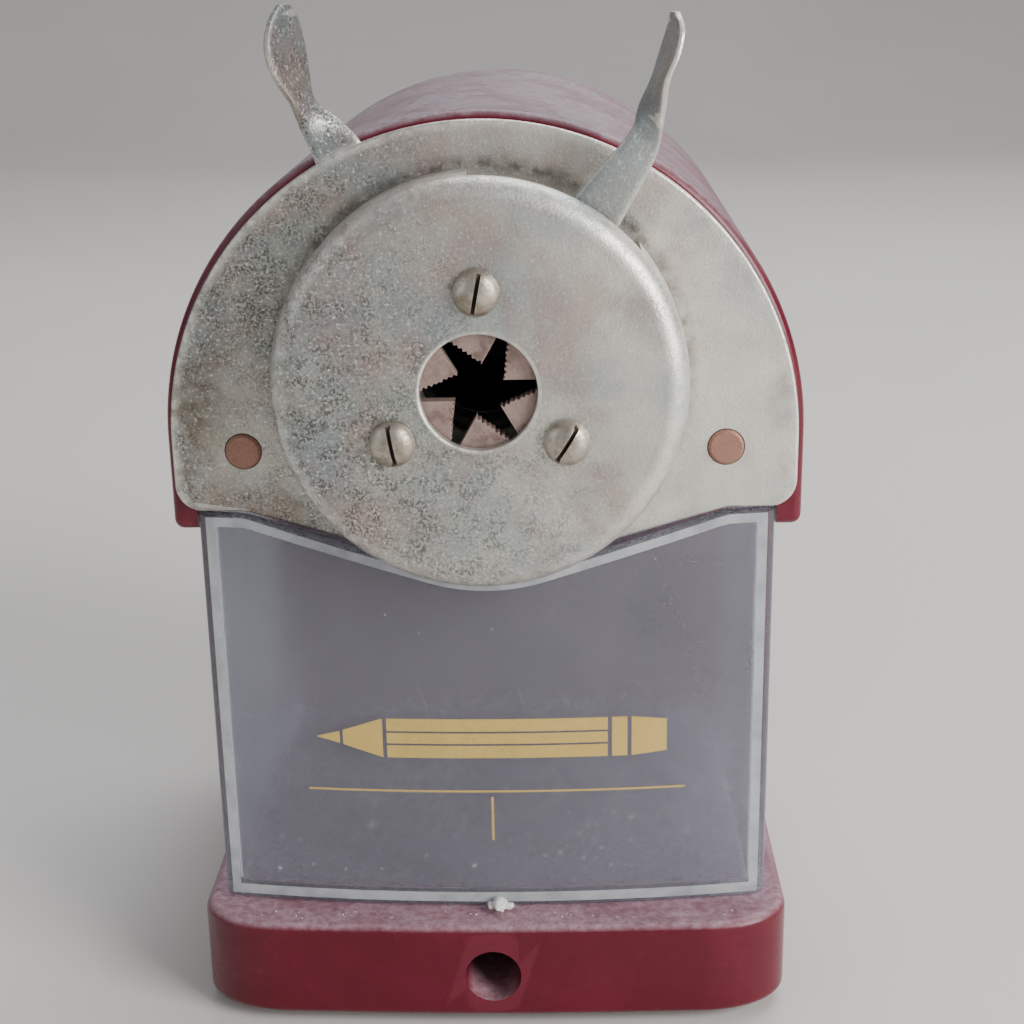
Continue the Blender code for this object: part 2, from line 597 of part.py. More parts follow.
def wrapped(name, places, half, y0, y1):
    """A cutter with the outline of a belt round equal circles at the places."""
    points = [Vector(q) for p in places for q in arc(p, half, 0, 330, 11)]
    outline = [points[i] for i in convex_hull_2d(points)]
    return prism(name, [tuple(p) for p in outline], y0, y1)


def slot(name, places, half, y0, y1):
    """A cutter that follows a path of (x, z) places, with round ends."""
    path = [Vector(p) for p in places]
    heads = []
    for i in range(len(path)):
        along = path[min(i + 1, len(path) - 1)] - path[max(i - 1, 0)]
        heads.append(math.degrees(math.atan2(along.y, along.x)))
    outline = [arc(p, half, h - 90, h - 90, 1)[0] for p, h in zip(path, heads)]
    outline += arc(path[-1], half, heads[-1] - 60, heads[-1] + 60, 4)
    outline += [arc(p, half, h + 90, h + 90, 1)[0] for p, h in reversed(list(zip(path, heads)))]
    outline += arc(path[0], half, heads[0] + 120, heads[0] + 240, 4)
    return prism(name, outline, y0, y1)


def lever_spring(paint):
    """Open wire hoop behind the ring that pushes the lever back to the right."""
    y = RING_FRONT_Y + RING_T + 0.0013
    hoop = arc((0, AXIS_Z), HOOP_R, 120, 410, 24)
    return wire("lever_return_spring", [(x, y, z) for x, z in hoop], HOOP_WIRE_R, paint)


def pencil_guide(paint):
    """Flanged bush in the bulkhead that centres the pencil."""
    y0, y1 = BULKHEAD_Y, BULKHEAD_Y + BULKHEAD_T
    flange = y0 - GAP - 0.0014
    profile = [(0.0070, flange), (0.0110, flange), (0.0110, y0 - GAP), (0.0087, y0 - GAP),
               (0.0087, y1 + 0.0006), (0.0066, y1 + 0.0006), (0.0066, flange + 0.0006)]
    return turned("pencil_guide", profile, paint, facets=32)


# ---------------------------------------------------------------- cutting head
def cutter_height(y):
    """Distance from the crank axis up to the cutter axis."""
    return (APEX_Y - y) * math.tan(CONE)


def tilted(obj):
    """Leans a piece that was made along the crank axis onto the cutter axis, about the apex."""
    apex = Vector((0, APEX_Y, AXIS_Z))
    turn = Matrix.Translation(apex) @ Matrix.Rotation(-CONE, 4, "X") @ Matrix.Translation(-apex)
    obj.matrix_world = turn
    return obj


def along_cutter(y):
    """Place along the cutter axis, measured as if it were level, of a point at y."""
    return APEX_Y - (APEX_Y - y) / math.cos(CONE)


def gear_sections(teeth, tip_r, root_r, share, phase):
    """Outline of a gear of straight-flanked teeth, each as wide as its share of the pitch."""
    points = []
    step = math.tau / teeth
    for k in range(teeth):
        centre = phase + k * step
        for radius, half in ((root_r, 0.5 * share + 0.10), (tip_r, 0.5 * share - 0.09)):
            points.append((radius, centre - half * step))
        for radius, half in ((tip_r, 0.5 * share - 0.09), (root_r, 0.5 * share + 0.10)):
            points.append((radius, centre + half * step))
    return [(r * math.cos(a), r * math.sin(a)) for r, a in points]


def cone_loft(name, outline, y_ref, y0, y1, paint=None):
    """An outline that shrinks towards the apex, as the teeth of a conical gear do."""
    bm = bmesh.new()
    rings = []
    for y in (y0, y1):
        scale = (APEX_Y - y) / (APEX_Y - y_ref)
        rings.append([bm.verts.new((x * scale, y, AXIS_Z + z * scale)) for x, z in outline])
    count = len(outline)
    for k in range(count):
        n = (k + 1) % count
        bm.faces.new((rings[0][k], rings[0][n], rings[1][n], rings[1][k]))
    bm.faces.new(rings[0])
    bm.faces.new(rings[1])
    return add(name, bm, paint)


def gear_sizes():
    """Pitch radii of ring and pinion, in planes square to their own axes."""
    ratio = RING_TEETH / PINION_TEETH
    ring_cone = math.atan(ratio * math.sin(CONE) / (ratio * math.cos(CONE) - 1))
    length = (APEX_Y - GEAR_Y) / math.cos(ring_cone)
    pinion_cone = ring_cone - CONE
    return length * math.sin(ring_cone), length * math.sin(pinion_cone), length * math.cos(pinion_cone)


def ring_gear(paint):
    ring_r, _, _ = gear_sizes()
    module = 2 * ring_r / RING_TEETH
    y0, y1 = GEAR_Y - GEAR_W / 2, GEAR_Y + GEAR_W / 2
    body = tube("ring_gear", 0.0146, ring_r - 0.004, y0, y1, paint, facets=36)
    space = gear_sections(RING_TEETH, ring_r + 0.95 * module, ring_r - 0.62 * module, 0.60, math.pi / 2)
    return cut(body, cone_loft("ring_gear_space", space, GEAR_Y, y0 - 0.001, y1 + 0.001))


def cutter(paint):
    """Helical cutter: a fluted cylinder on its own leaning axis."""
    y0, y1 = along_cutter(CUTTER_FRONT_Y), along_cutter(CUTTER_BACK_Y)
    flutes, slices, twist = 12, 9, math.radians(110)
    bm = bmesh.new()
    rings = []
    for s in range(slices + 1):
        f = s / slices
        ring = []
        for k in range(flutes):
            base_angle = math.tau * k / flutes + twist * f
            for depth, share in ((0.0009, -0.18), (0.00015, 0.0), (0.0004, 0.5)):
                radius = CUTTER_R - depth
                a = base_angle + share * math.tau / flutes
                place = (radius * math.cos(a), y0 + (y1 - y0) * f, AXIS_Z + radius * math.sin(a))
                ring.append(bm.verts.new(place))
        rings.append(ring)
    count = len(rings[0])
    for first, second in zip(rings, rings[1:]):
        for k in range(count):
            n = (k + 1) % count
            bm.faces.new((first[k], first[n], second[n], second[k]))
    bm.faces.new(rings[0])
    bm.faces.new(rings[-1])
    bmesh.ops.triangulate(bm, faces=[f for f in bm.faces if len(f.verts) == 4])
    made = add("helical_cutter", bm, paint)
    bore = rod("cutter_bore", AXLE_HOLE_R, y0 - 0.003, y1 + 0.003, facets=SMALL_FACETS)
    cut(made, bore)
    tilted(bore)
    return tilted(made)


def pinion(paint):
    _, pinion_r, length = gear_sizes()
    module = 2 * pinion_r / PINION_TEETH
    centre = APEX_Y - length
    y0, y1 = centre - GEAR_W / 2 + 0.0002, centre + GEAR_W / 2 - 0.0002
    tip_r, root_r = pinion_r + 0.52 * module, pinion_r - 0.95 * module
    outline = gear_sections(PINION_TEETH, tip_r, root_r, 0.34, math.pi / 2)
    made = cone_loft("cutter_pinion", outline, centre, y0, y1, paint)
    hub = rod("pinion_hub", 0.0032, along_cutter(CUTTER_BACK_Y) + GAP, centre, facets=SMALL_FACETS)
    join(made, hub)
    bore = rod("pinion_bore", AXLE_HOLE_R, y0 - 0.008, y1 + 0.004, facets=SMALL_FACETS)
    cut(made, bore)
    for piece in (hub, bore):
        tilted(piece)
    return tilted(made)


def axle(paint):
    y0, y1 = along_cutter(FRONT_Y + 0.0108), along_cutter(FRONT_Y + 0.0585)
    return tilted(rod("cutter_axle", AXLE_R, y0, y1, paint, facets=SMALL_FACETS))


def carrier(paint):
    """Cast frame that turns with the crank and carries the cutter across the pencil's cone."""
    front, back = CARRIER_FRONT_Y, CARRIER_FRONT_Y + 0.0030
    disc = rod("cutter_carrier", CARRIER_R, front, back, paint)
    rear = rod("carrier_rear", 0.0125, CARRIER_BACK_Y - 0.0045, CARRIER_BACK_Y)
    trough = [(x, AXIS_Z + z) for x, z in arc((0, 0), 0.0118, 180, 360, 14) + arc((0, 0), 0.0088, 360, 180, 12)]
    half_tube = prism("carrier_trough", trough, back - 0.001, FRONT_Y + 0.0477)
    neck_points = [(x, AXIS_Z + z) for x, z in arc((0, 0), 0.0079, 187, 353, 11)]
    neck = prism("carrier_neck", neck_points, FRONT_Y + 0.0460, FRONT_Y + 0.0563)
    web_points = [(x, AXIS_Z + z) for x, z in arc((0, 0), 0.0100, 186, 354, 12)]
    web = prism("carrier_web", web_points, FRONT_Y + 0.0457, FRONT_Y + 0.0474)
    join(disc, rear, half_tube, neck, web)
    pencil_way = rod("carrier_pencil_way", 0.0072, front - 0.002, back + 0.002)
    axle_hole = rod("carrier_axle_hole", AXLE_HOLE_R, along_cutter(FRONT_Y + 0.0060),
                    along_cutter(CARRIER_BACK_Y - 0.0010), facets=SMALL_FACETS)
    shaft_hole = rod("carrier_shaft_hole", SHAFT_R + GAP, CARRIER_BACK_Y - 0.0008, CARRIER_BACK_Y + 0.0040,
                     facets=20)
    pinion_room = rod("pinion_room", 0.0066, along_cutter(FRONT_Y + 0.0475), along_cutter(FRONT_Y + 0.0553),
                      facets=24)
    cutter_room = rod("cutter_room", CUTTER_R + 0.0004, along_cutter(CUTTER_FRONT_Y - 0.0010),
                      along_cutter(FRONT_Y + 0.0480), facets=24)
    cut(disc, pencil_way, axle_hole, pinion_room, cutter_room, shaft_hole)
    for piece in (axle_hole, pinion_room, cutter_room):
        tilted(piece)
    return disc


# ---------------------------------------------------------------- rear bearing and crank
def rear_cap(paint):
    """Round cap let into the housing's back, with the shaft bearing and the ring gear's seat."""
    wall, spigot_end, web = HOUSING_BACK_Y, FRONT_Y + 0.0480, FRONT_Y + 0.0640
    profile = [(0.0149, spigot_end), (CAP_SPIGOT_R, spigot_end), (CAP_SPIGOT_R, wall + GAP),
               (CAP_R, wall + GAP), (CAP_R, wall + 0.0020), (CAP_R - 0.0010, wall + 0.0030),
               (0.0085, wall + 0.0030), (0.0075, wall + 0.0080), (0.0042, wall + 0.0080),
               (0.0042, web), (0.0149, web)]
    cap = turned("rear_bearing_cap", profile, paint, facets=36)
    holes = [rod(f"cap_clear_{side}", 0.0014, wall - 0.001, wall + 0.005, x=side * CAP_SCREW_X,
                 facets=SMALL_FACETS) for side in (-1, 1)]
    return cut(cap, *holes)


def cap_screw(name, side, paint):
    face = HOUSING_BACK_Y + 0.0030 + GAP
    profile = [(0, HOUSING_BACK_Y - 0.0050), (0.0008, HOUSING_BACK_Y - 0.0050), (0.0008, face), (0.0021, face),
               (0.0021, face + 0.0006), (0.0012, face + 0.0014), (0, face + 0.0015)]
    return turned(name, profile, paint, x=side * CAP_SCREW_X, facets=SMALL_FACETS)


def shaft_bush(paint):
    wall = HOUSING_BACK_Y
    return tube("shaft_bush", 0.0039, 0.0028, FRONT_Y + 0.0643, wall + 0.0078, paint, facets=20)


def crank_shaft(paint):
    """Steel shaft pressed in the carrier, with a shoulder for the crank arm and a threaded end."""
    y0, shoulder, end = CARRIER_BACK_Y - 0.0005, CRANK_ARM_Y - 0.0004, CRANK_ARM_Y + CRANK_ARM_T + 0.0032
    profile = [(0, y0), (SHAFT_R, y0), (SHAFT_R, shoulder), (0.0017, shoulder), (0.0017, end), (0, end)]
    return turned("crank_shaft", profile, paint, facets=20)


def crank_arm(paint):
    """Flat steel arm with round ends, hanging down from the shaft."""
    low = AXIS_Z - CRANK_LENGTH
    outline = arc((0, AXIS_Z), 0.0065, 0, 180, 12) + arc((0, low), 0.0050, 180, 360, 12)
    arm = prism("crank_arm", outline, CRANK_ARM_Y, CRANK_ARM_Y + CRANK_ARM_T, paint)
    bevel(arm, 0.0004, 1, 50)
    shaft_hole = rod("arm_shaft_hole", 0.0020, CRANK_ARM_Y - 0.002, CRANK_ARM_Y + 0.005, facets=20)
    pin_hole = rod("arm_pin_hole", 0.0023, CRANK_ARM_Y - 0.002, CRANK_ARM_Y + 0.005, z=low, facets=20)
    return cut(arm, shaft_hole, pin_hole)


def crank_nut(paint):
    y0 = CRANK_ARM_Y + CRANK_ARM_T + GAP
    outline = arc((0, AXIS_Z), 0.0042, 0, 300, 5)
    nut = prism("crank_nut", outline, y0, y0 + 0.0026, paint)
    hole = rod("nut_hole", 0.0020, y0 - 0.002, y0 + 0.005, facets=20)
    return cut(nut, hole)


def knob_pin(paint):
    """Shouldered pin riveted in the arm; the knob turns on it."""
    z = AXIS_Z - CRANK_LENGTH
    y0 = CRANK_ARM_Y - 0.0010
    profile = [(0, y0), (0.0034, y0), (0.0034, CRANK_ARM_Y - GAP), (0.0020, CRANK_ARM_Y - GAP),
               (0.0020, KNOB_Y + KNOB_L - 0.0040), (0.0030, KNOB_Y + KNOB_L - 0.0040),
               (0.0030, KNOB_Y + KNOB_L - 0.0028), (0, KNOB_Y + KNOB_L - 0.0028)]
    return turned("knob_pin", profile, paint, z=z, facets=20)


def knob(paint):
    """Tapered plastic grip, open at the arm's side and counterbored for the pin's head."""
    z = AXIS_Z - CRANK_LENGTH
    a, b = KNOB_Y, KNOB_Y + KNOB_L
    grip = [(0.0023, a), (0.0046, a), (0.0052, a + 0.0006), (0.0058, a + 0.0060), (0.0065, a + 0.0130),
            (0.0066, a + 0.0180), (0.0062, a + 0.0215), (0.0052, b - 0.0008), (0.0042, b)]
    inside = [(0.0033, b), (0.0033, b - 0.0043), (0.0023, b - 0.0043)]
    return turned("crank_knob", grip + inside, paint, z=z, facets=28)


def main():
    for obj in list(bpy.data.objects):
        bpy.data.objects.remove(obj)
    maroon = material("maroon_plastic", (0.19, 0.016, 0.040), 0.28)
    maroon_base = material("maroon_base_plastic", (0.21, 0.018, 0.045), 0.30)
    clear = material("clear_plastic", (0.78, 0.82, 0.84), 0.10, 0.0, 0.30)
    plated = material("plated_steel", (0.52, 0.53, 0.50), 0.45, 0.9)
    coppered = material("coppered_steel", (0.42, 0.19, 0.13), 0.5, 0.8)
    brassy = material("nickel_screw", (0.62, 0.58, 0.48), 0.35, 0.95)
    tool_steel = material("tool_steel", (0.20, 0.20, 0.21), 0.35, 0.95)
    zinc = material("zinc_casting", (0.38, 0.38, 0.40), 0.5, 0.9)
    spring_steel = material("spring_steel", (0.30, 0.30, 0.32), 0.4, 0.95)
    bronze = material("bronze", (0.45, 0.30, 0.14), 0.45, 0.9)
    black = material("black_plastic", (0.015, 0.015, 0.017), 0.4)
    rubber = material("black_rubber", (0.02, 0.02, 0.02), 0.85)

    housing(maroon)
    base(maroon_base)
    base_pad(rubber)
    for number, side in enumerate((-1, 1), 1):
        base_screw(f"base_screw_{number}", side * BOSS_X, spring_steel)
        cap_screw(f"cap_screw_{number}", side, spring_steel)
        guide_rod(f"guide_rod_{number}", side, coppered)
        rod_collar(f"rod_collar_{number}", side, spring_steel)
        carriage_spring(f"carriage_spring_{number}", side, spring_steel)
    drawer(clear)
    pencil_guide(black)
    front_plate(plated)
    chuck_cover(plated)
    for number, (angle, slot) in enumerate(zip(SCREW_ANGLES, SLOT_ANGLES), 1):
        cover_screw(f"cover_screw_{number}", angle, slot, brassy)
    for number, angle in enumerate(PIN_ANGLES, 1):
        pivot_pin(f"jaw_pin_{number}", angle, spring_steel)
    for index in range(6):
        chuck_jaw(f"chuck_jaw_{index + 1}", index, coppered)
    lever_ring(plated)
    lever_spring(spring_steel)
    ring_gear(zinc)
    rear_cap(black)
    shaft_bush(bronze)
    carrier(zinc)
    cutter(tool_steel)
    pinion(tool_steel)
    axle(spring_steel)
    crank_shaft(spring_steel)
    crank_arm(plated)
    crank_nut(brassy)
    knob_pin(spring_steel)
    knob(black)


main()
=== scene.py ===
# %% [markdown]
# # A desk pencil sharpener
# The sharpener has a maroon housing with an arched top, a clear drawer for the shavings, a crank at the back,
# and a sprung front plate that carries an iris chuck. Two finger levers open the chuck like ears.
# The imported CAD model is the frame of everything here: it fixes every size, place and moving body.
# This lesson builds a finer skin over the pieces that are seen from close by, and gives each piece its finish.

# %% Load the frame
import json
import math
import random

import bmesh
import bpy
from mathutils import Matrix, Vector, noise

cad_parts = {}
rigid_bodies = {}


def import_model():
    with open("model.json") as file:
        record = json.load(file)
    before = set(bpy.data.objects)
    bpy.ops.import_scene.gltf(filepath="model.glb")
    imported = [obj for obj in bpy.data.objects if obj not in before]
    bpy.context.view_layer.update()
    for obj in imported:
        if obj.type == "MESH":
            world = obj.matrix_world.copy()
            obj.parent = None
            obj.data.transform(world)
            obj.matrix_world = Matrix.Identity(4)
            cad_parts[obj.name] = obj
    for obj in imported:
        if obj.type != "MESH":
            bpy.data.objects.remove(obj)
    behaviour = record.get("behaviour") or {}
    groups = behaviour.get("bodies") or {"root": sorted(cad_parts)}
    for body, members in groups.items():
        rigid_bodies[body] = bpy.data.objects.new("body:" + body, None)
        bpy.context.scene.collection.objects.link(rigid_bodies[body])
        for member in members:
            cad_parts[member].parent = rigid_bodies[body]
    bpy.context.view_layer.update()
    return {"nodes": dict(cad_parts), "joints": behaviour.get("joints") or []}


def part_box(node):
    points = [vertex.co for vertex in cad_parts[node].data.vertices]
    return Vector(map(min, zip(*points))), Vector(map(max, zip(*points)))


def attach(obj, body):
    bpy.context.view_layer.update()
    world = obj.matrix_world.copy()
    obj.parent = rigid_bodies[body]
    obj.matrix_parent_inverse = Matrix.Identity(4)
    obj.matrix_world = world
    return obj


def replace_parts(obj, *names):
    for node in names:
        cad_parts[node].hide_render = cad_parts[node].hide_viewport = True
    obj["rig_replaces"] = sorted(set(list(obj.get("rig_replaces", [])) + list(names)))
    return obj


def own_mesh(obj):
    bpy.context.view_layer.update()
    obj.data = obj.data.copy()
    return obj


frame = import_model()
joints = {j["name"]: j for j in frame["joints"]}

# %% [markdown]
# Sizes come from the frame where it can give them. The crank's joint gives the pencil axis, the cup's box
# gives the plate's front, and a rod's box gives its centre. The few numbers that a box can't give and that
# several pieces share are named once here; a piece's own numbers stand with the piece.

# %% Sizes read from the frame
MM = 0.001
axis_z = joints["crank_turn"]["pos_m"][2]
shell_low, shell_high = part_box("housing_shell")
base_low, base_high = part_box("base")
drawer_low, drawer_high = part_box("shavings_drawer")
rod_low, rod_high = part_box("guide_rod_2")
rod_x, rod_z = (rod_low.x + rod_high.x) / 2, (rod_low.z + rod_high.z) / 2
rod_r = (rod_high.x - rod_low.x) / 2
cover_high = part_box("chuck_cover")[1]
cover_r = cover_high.x
gap = 0.3 * MM                          # between pieces that don't touch
front_y = cover_high.y + gap            # front face of the plate
jaw_front_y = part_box("chuck_jaw_1")[0].y
arch_z = 74.9 * MM                      # centre of the arched top
arch_r = shell_high.x
plate_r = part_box("front_plate")[1].x
plate_t = 1.2 * MM
slope = math.tan(math.radians(16.7))    # of the plate's lower edge
vee_top_z = 66.4 * MM                   # where that edge turns level at the sides
vee_middle_r = 24.0 * MM                # its round middle, about the pencil axis
post_at = 11.2 * MM                     # jaw posts, from the pencil axis
print(f"front plate at y {1000 * front_y:.1f} mm, pencil axis {1000 * axis_z:.1f} mm up, "
      f"rods at x {1000 * rod_x:.1f} mm")

# %% [markdown]
# ## Shaping tools
# Sheet metal and moulded plastic are mostly two kinds of shape: an outline pushed along one direction, and a
# profile turned round an axis. They could be drawn by hand in edit mode, but as functions each piece stays a
# few numbers, and the holes can be cut with Booleans from the same numbers. A cutter is an object like any
# other, so `combined` applies the modifiers and then removes the cutters.

# %% Outlines and solids
def arc(centre, radius, start, stop, steps):
    angles = [math.radians(start + (stop - start) * i / steps) for i in range(steps + 1)]
    return [(centre[0] + radius * math.cos(a), centre[1] + radius * math.sin(a)) for a in angles]


def on_axis(radius, degrees):
    a = math.radians(degrees)
    return radius * math.cos(a), axis_z + radius * math.sin(a)


def put_in_scene(name, data):
    obj = bpy.data.objects.new(name, data)
    bpy.context.scene.collection.objects.link(obj)
    return obj


def as_object(name, bm):
    bmesh.ops.recalc_face_normals(bm, faces=bm.faces)
    mesh = bpy.data.meshes.new(name)
    bm.to_mesh(mesh)
    bm.free()
    return put_in_scene(name, mesh)


def pushed(name, outline, low, high, along="y"):
    """An outline of (x, z) points pushed along y, or of (x, y) points pushed along z."""
    bm = bmesh.new()
    place = (lambda p: (p[0], low, p[1])) if along == "y" else (lambda p: (p[0], p[1], low))
    face = bm.faces.new([bm.verts.new(place(p)) for p in outline])
    grown = bmesh.ops.extrude_face_region(bm, geom=[face])
    moved = [v for v in grown["geom"] if isinstance(v, bmesh.types.BMVert)]
    step = (0, high - low, 0) if along == "y" else (0, 0, high - low)
    bmesh.ops.translate(bm, verts=moved, vec=step)
    return as_object(name, bm)


def turned(name, profile, x=0.0, z=None, steps=96):
    """A closed profile of (radius, y) points turned round a line along y."""
    z = axis_z if z is None else z
    bm = bmesh.new()
    ring = [bm.verts.new((x + r, y, z)) for r, y in profile]
    ends = zip(ring, ring[1:] + ring[:1], profile, profile[1:] + profile[:1])
    edges = [bm.edges.new((a, b)) for a, b, p, q in ends if max(p[0], q[0]) > 0]
    bmesh.ops.spin(bm, geom=ring + edges, cent=(x, 0, z), axis=(0, 1, 0), angle=math.tau, steps=steps,
                   use_merge=True)
    bmesh.ops.remove_doubles(bm, verts=bm.verts, dist=1e-6)
    return as_object(name, bm)


def drill(radius, y0, y1, x=0.0, z=None, steps=48):
    return turned("drill", [(0, y0), (radius, y0), (radius, y1), (0, y1)], x, z, steps)


def block(low, high):
    outline = [(low[0], low[2]), (high[0], low[2]), (high[0], high[2]), (low[0], high[2])]
    return pushed("block", outline, low[1], high[1])


# %% Boolean and bevel helpers
def combined(obj, operation, tools):
    for tool in tools:
        modifier = obj.modifiers.new(operation, "BOOLEAN")
        modifier.operation = operation
        modifier.object = tool
    settle(obj)
    for tool in tools:
        bpy.data.objects.remove(tool)
    return obj


def settle(obj):
    """Applies the modifiers, so that what is seen is what the mesh holds."""
    bpy.context.view_layer.update()
    seen = obj.evaluated_get(bpy.context.evaluated_depsgraph_get())
    mesh = bpy.data.meshes.new_from_object(seen)
    obj.modifiers.clear()
    obj.data = mesh
    return obj


def cut(obj, *tools):
    return combined(obj, "DIFFERENCE", tools)


def joined(obj, *tools):
    return combined(obj, "UNION", tools)


def rounded(obj, width, segments=3, angle=40):
    modifier = obj.modifiers.new("Rounded edges", "BEVEL")
    modifier.width = width
    modifier.segments = segments
    modifier.limit_method = "ANGLE"
    modifier.angle_limit = math.radians(angle)
    return settle(obj)


# %% Handing a piece over to its body
def hand_over(obj, name, body, nodes, paint, smooth=38, flat_y=None):
    """Names a finished piece, shades it, and lets it ride on its body in place of its CAD nodes.

    A level face at flat_y is shaded flat, so that the holes cut in it don't bend its light.
    """
    obj.name = name
    obj.data.name = name
    obj.data.materials.clear()
    obj.data.materials.append(paint)
    obj.data.shade_smooth()
    obj.data.set_sharp_from_angle(angle=math.radians(smooth))
    if flat_y is not None:
        for polygon in obj.data.polygons:
            polygon.use_smooth = abs(polygon.center.y - flat_y) > 0.00001 or abs(polygon.normal.y) < 0.999
    weighted = obj.modifiers.new("Even shading", "WEIGHTED_NORMAL")
    weighted.keep_sharp = True
    settle(obj)
    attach(obj, body)
    if nodes:
        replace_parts(obj, *nodes)
    print(f"{name}: {len(obj.data.polygons)} faces, rides on {body}")
    return obj


# %% [markdown]
# ## Finishes
# A finish is made of effects that several materials share: a fine speckle, slow patches of colour, dust that
# settles on faces that look up, hair-line scratches, and bright worn edges. Each could be painted on an image,
# but noise textures measured in metres keep the same scale on every piece and need no unwrapping. So each
# effect is a node group, built once, and each material sets its amounts.

# %% A small kit for shader nodes
def feed(tree, socket, value):
    """Links another node's output to a socket, or sets the socket's own value."""
    if isinstance(value, bpy.types.NodeSocket):
        tree.links.new(value, socket)
    else:
        socket.default_value = value


def put(tree, kind, values=None, **settings):
    made = tree.nodes.new("ShaderNode" + kind)
    for key, value in settings.items():
        setattr(made, key, value)
    for key, value in (values or {}).items():
        feed(tree, made.inputs[key], value)
    return made


def maths(tree, operation, a, b=0.0, clamp=False):
    return put(tree, "Math", {0: a, 1: b}, operation=operation, use_clamp=clamp).outputs[0]


def ramp(tree, value, low, high, start=0.0, end=1.0):
    """Maps a value from low..high to start..end, smoothly and held at the ends."""
    limits = {"Value": value, "From Min": low, "From Max": high, "To Min": start, "To Max": end}
    return put(tree, "MapRange", limits, interpolation_type="SMOOTHSTEP").outputs["Result"]


def blend(tree, amount, a, b):
    return put(tree, "Mix", {0: amount, 6: a, 7: b}, data_type="RGBA").outputs[2]


def noisy(tree, place, scale, detail, roughness=0.5, distortion=0.0):
    values = {"Vector": place, "Scale": scale, "Detail": detail, "Roughness": roughness, "Distortion": distortion}
    return put(tree, "TexNoise", values).outputs["Fac"]


def new_group(name, takes, gives):
    group = bpy.data.node_groups.new(name, "ShaderNodeTree")
    for label, value in takes.items():
        kind = "NodeSocketVector" if label == "Place" else "NodeSocketFloat"
        socket = group.interface.new_socket(label, in_out="INPUT", socket_type=kind)
        if label != "Place":
            socket.default_value = value
    for label in gives:
        group.interface.new_socket(label, in_out="OUTPUT", socket_type="NodeSocketFloat")
    return group, group.nodes.new("NodeGroupInput").outputs, group.nodes.new("NodeGroupOutput").inputs


def use(tree, group, **values):
    made = tree.nodes.new("ShaderNodeGroup")
    made.node_tree = group
    for key, value in values.items():
        feed(tree, made.inputs[key.replace("_", " ")], value)
    return made.outputs


# %% [markdown]
# Speckle is what a dull zinc or nickel skin shows after years in use: pin-point pits beside bright grains.
# Two noises of different size are multiplied, because one noise alone looks like even sand.

# %% Group: fine speckle
speckle, take, give = new_group("Fine speckle", {"Place": None, "Grain": 0.0004, "Contrast": 0.5},
                                ["Mask", "Height"])
scale = maths(speckle, "DIVIDE", 1.0, take["Grain"])
small = noisy(speckle, take["Place"], scale, 2.0, 0.7)
wide = noisy(speckle, take["Place"], maths(speckle, "MULTIPLY", scale, 0.13), 3.0, 0.6)
half_width = maths(speckle, "SUBTRACT", 0.26, maths(speckle, "MULTIPLY", take["Contrast"], 0.2))
low = maths(speckle, "SUBTRACT", 0.5, half_width)
high = maths(speckle, "ADD", 0.5, half_width)
grains = ramp(speckle, small, low, high)
field = ramp(speckle, wide, 0.35, 0.65, 0.25, 1.0)
speckle.links.new(maths(speckle, "MULTIPLY", grains, field), give["Mask"])
speckle.links.new(small, give["Height"])

# %% Group: slow patches
patches, take, give = new_group("Slow patches", {"Place": None, "Size": 0.01, "Seed": 0.0, "Sharpness": 0.5},
                                ["Mask"])
moved = put(patches, "VectorMath", {0: take["Place"]}, operation="ADD")
seed = put(patches, "CombineXYZ", {"X": take["Seed"], "Y": maths(patches, "MULTIPLY", take["Seed"], 1.7)})
patches.links.new(seed.outputs[0], moved.inputs[1])
cloud = noisy(patches, moved.outputs[0], maths(patches, "DIVIDE", 1.0, take["Size"]), 4.0, 0.55, 0.4)
reach = maths(patches, "SUBTRACT", 0.22, maths(patches, "MULTIPLY", take["Sharpness"], 0.18))
low = maths(patches, "SUBTRACT", 0.54, reach)
high = maths(patches, "ADD", 0.54, reach)
patches.links.new(ramp(patches, cloud, low, high), give["Mask"])

# %% [markdown]
# Dust lies where it can fall, so its mask is the upward part of the surface's normal, broken up by noise.
# Scratches are noise that has been stretched fifty times along one direction and cut to thin peaks; three
# sets at different angles look like years of handling rather than brushing.

# %% Group: settled dust
dust, take, give = new_group("Settled dust", {"Place": None, "Amount": 0.5, "Size": 0.002}, ["Mask"])
normal = put(dust, "NewGeometry").outputs["Normal"]
up = put(dust, "SeparateXYZ", {0: normal}).outputs["Z"]
fall = ramp(dust, up, 0.25, 1.0)
clumps = noisy(dust, take["Place"], maths(dust, "DIVIDE", 1.0, take["Size"]), 6.0, 0.75)
film = maths(dust, "MULTIPLY", fall, ramp(dust, clumps, 0.30, 0.70, 0.35, 1.0))
dust.links.new(maths(dust, "MULTIPLY", film, take["Amount"], True), give["Mask"])

# %% Group: hair-line scratches
scratches, take, give = new_group("Hair-line scratches", {"Place": None, "Spacing": 0.002, "Amount": 0.5},
                                  ["Mask"])
total = None
for turn in (0.35, 1.3, 2.4):
    spun = put(scratches, "VectorRotate", {"Vector": take["Place"], "Angle": turn}, rotation_type="Y_AXIS")
    stretched = put(scratches, "VectorMath", {0: spun.outputs[0], 1: (1.0, 1.0, 0.02)}, operation="MULTIPLY")
    fine = noisy(scratches, stretched.outputs[0], maths(scratches, "DIVIDE", 1.0, take["Spacing"]), 3.0, 0.8)
    line = ramp(scratches, fine, 0.62, 0.70)
    total = line if total is None else maths(scratches, "MAXIMUM", total, line)
scratches.links.new(maths(scratches, "MULTIPLY", total, take["Amount"]), give["Mask"])

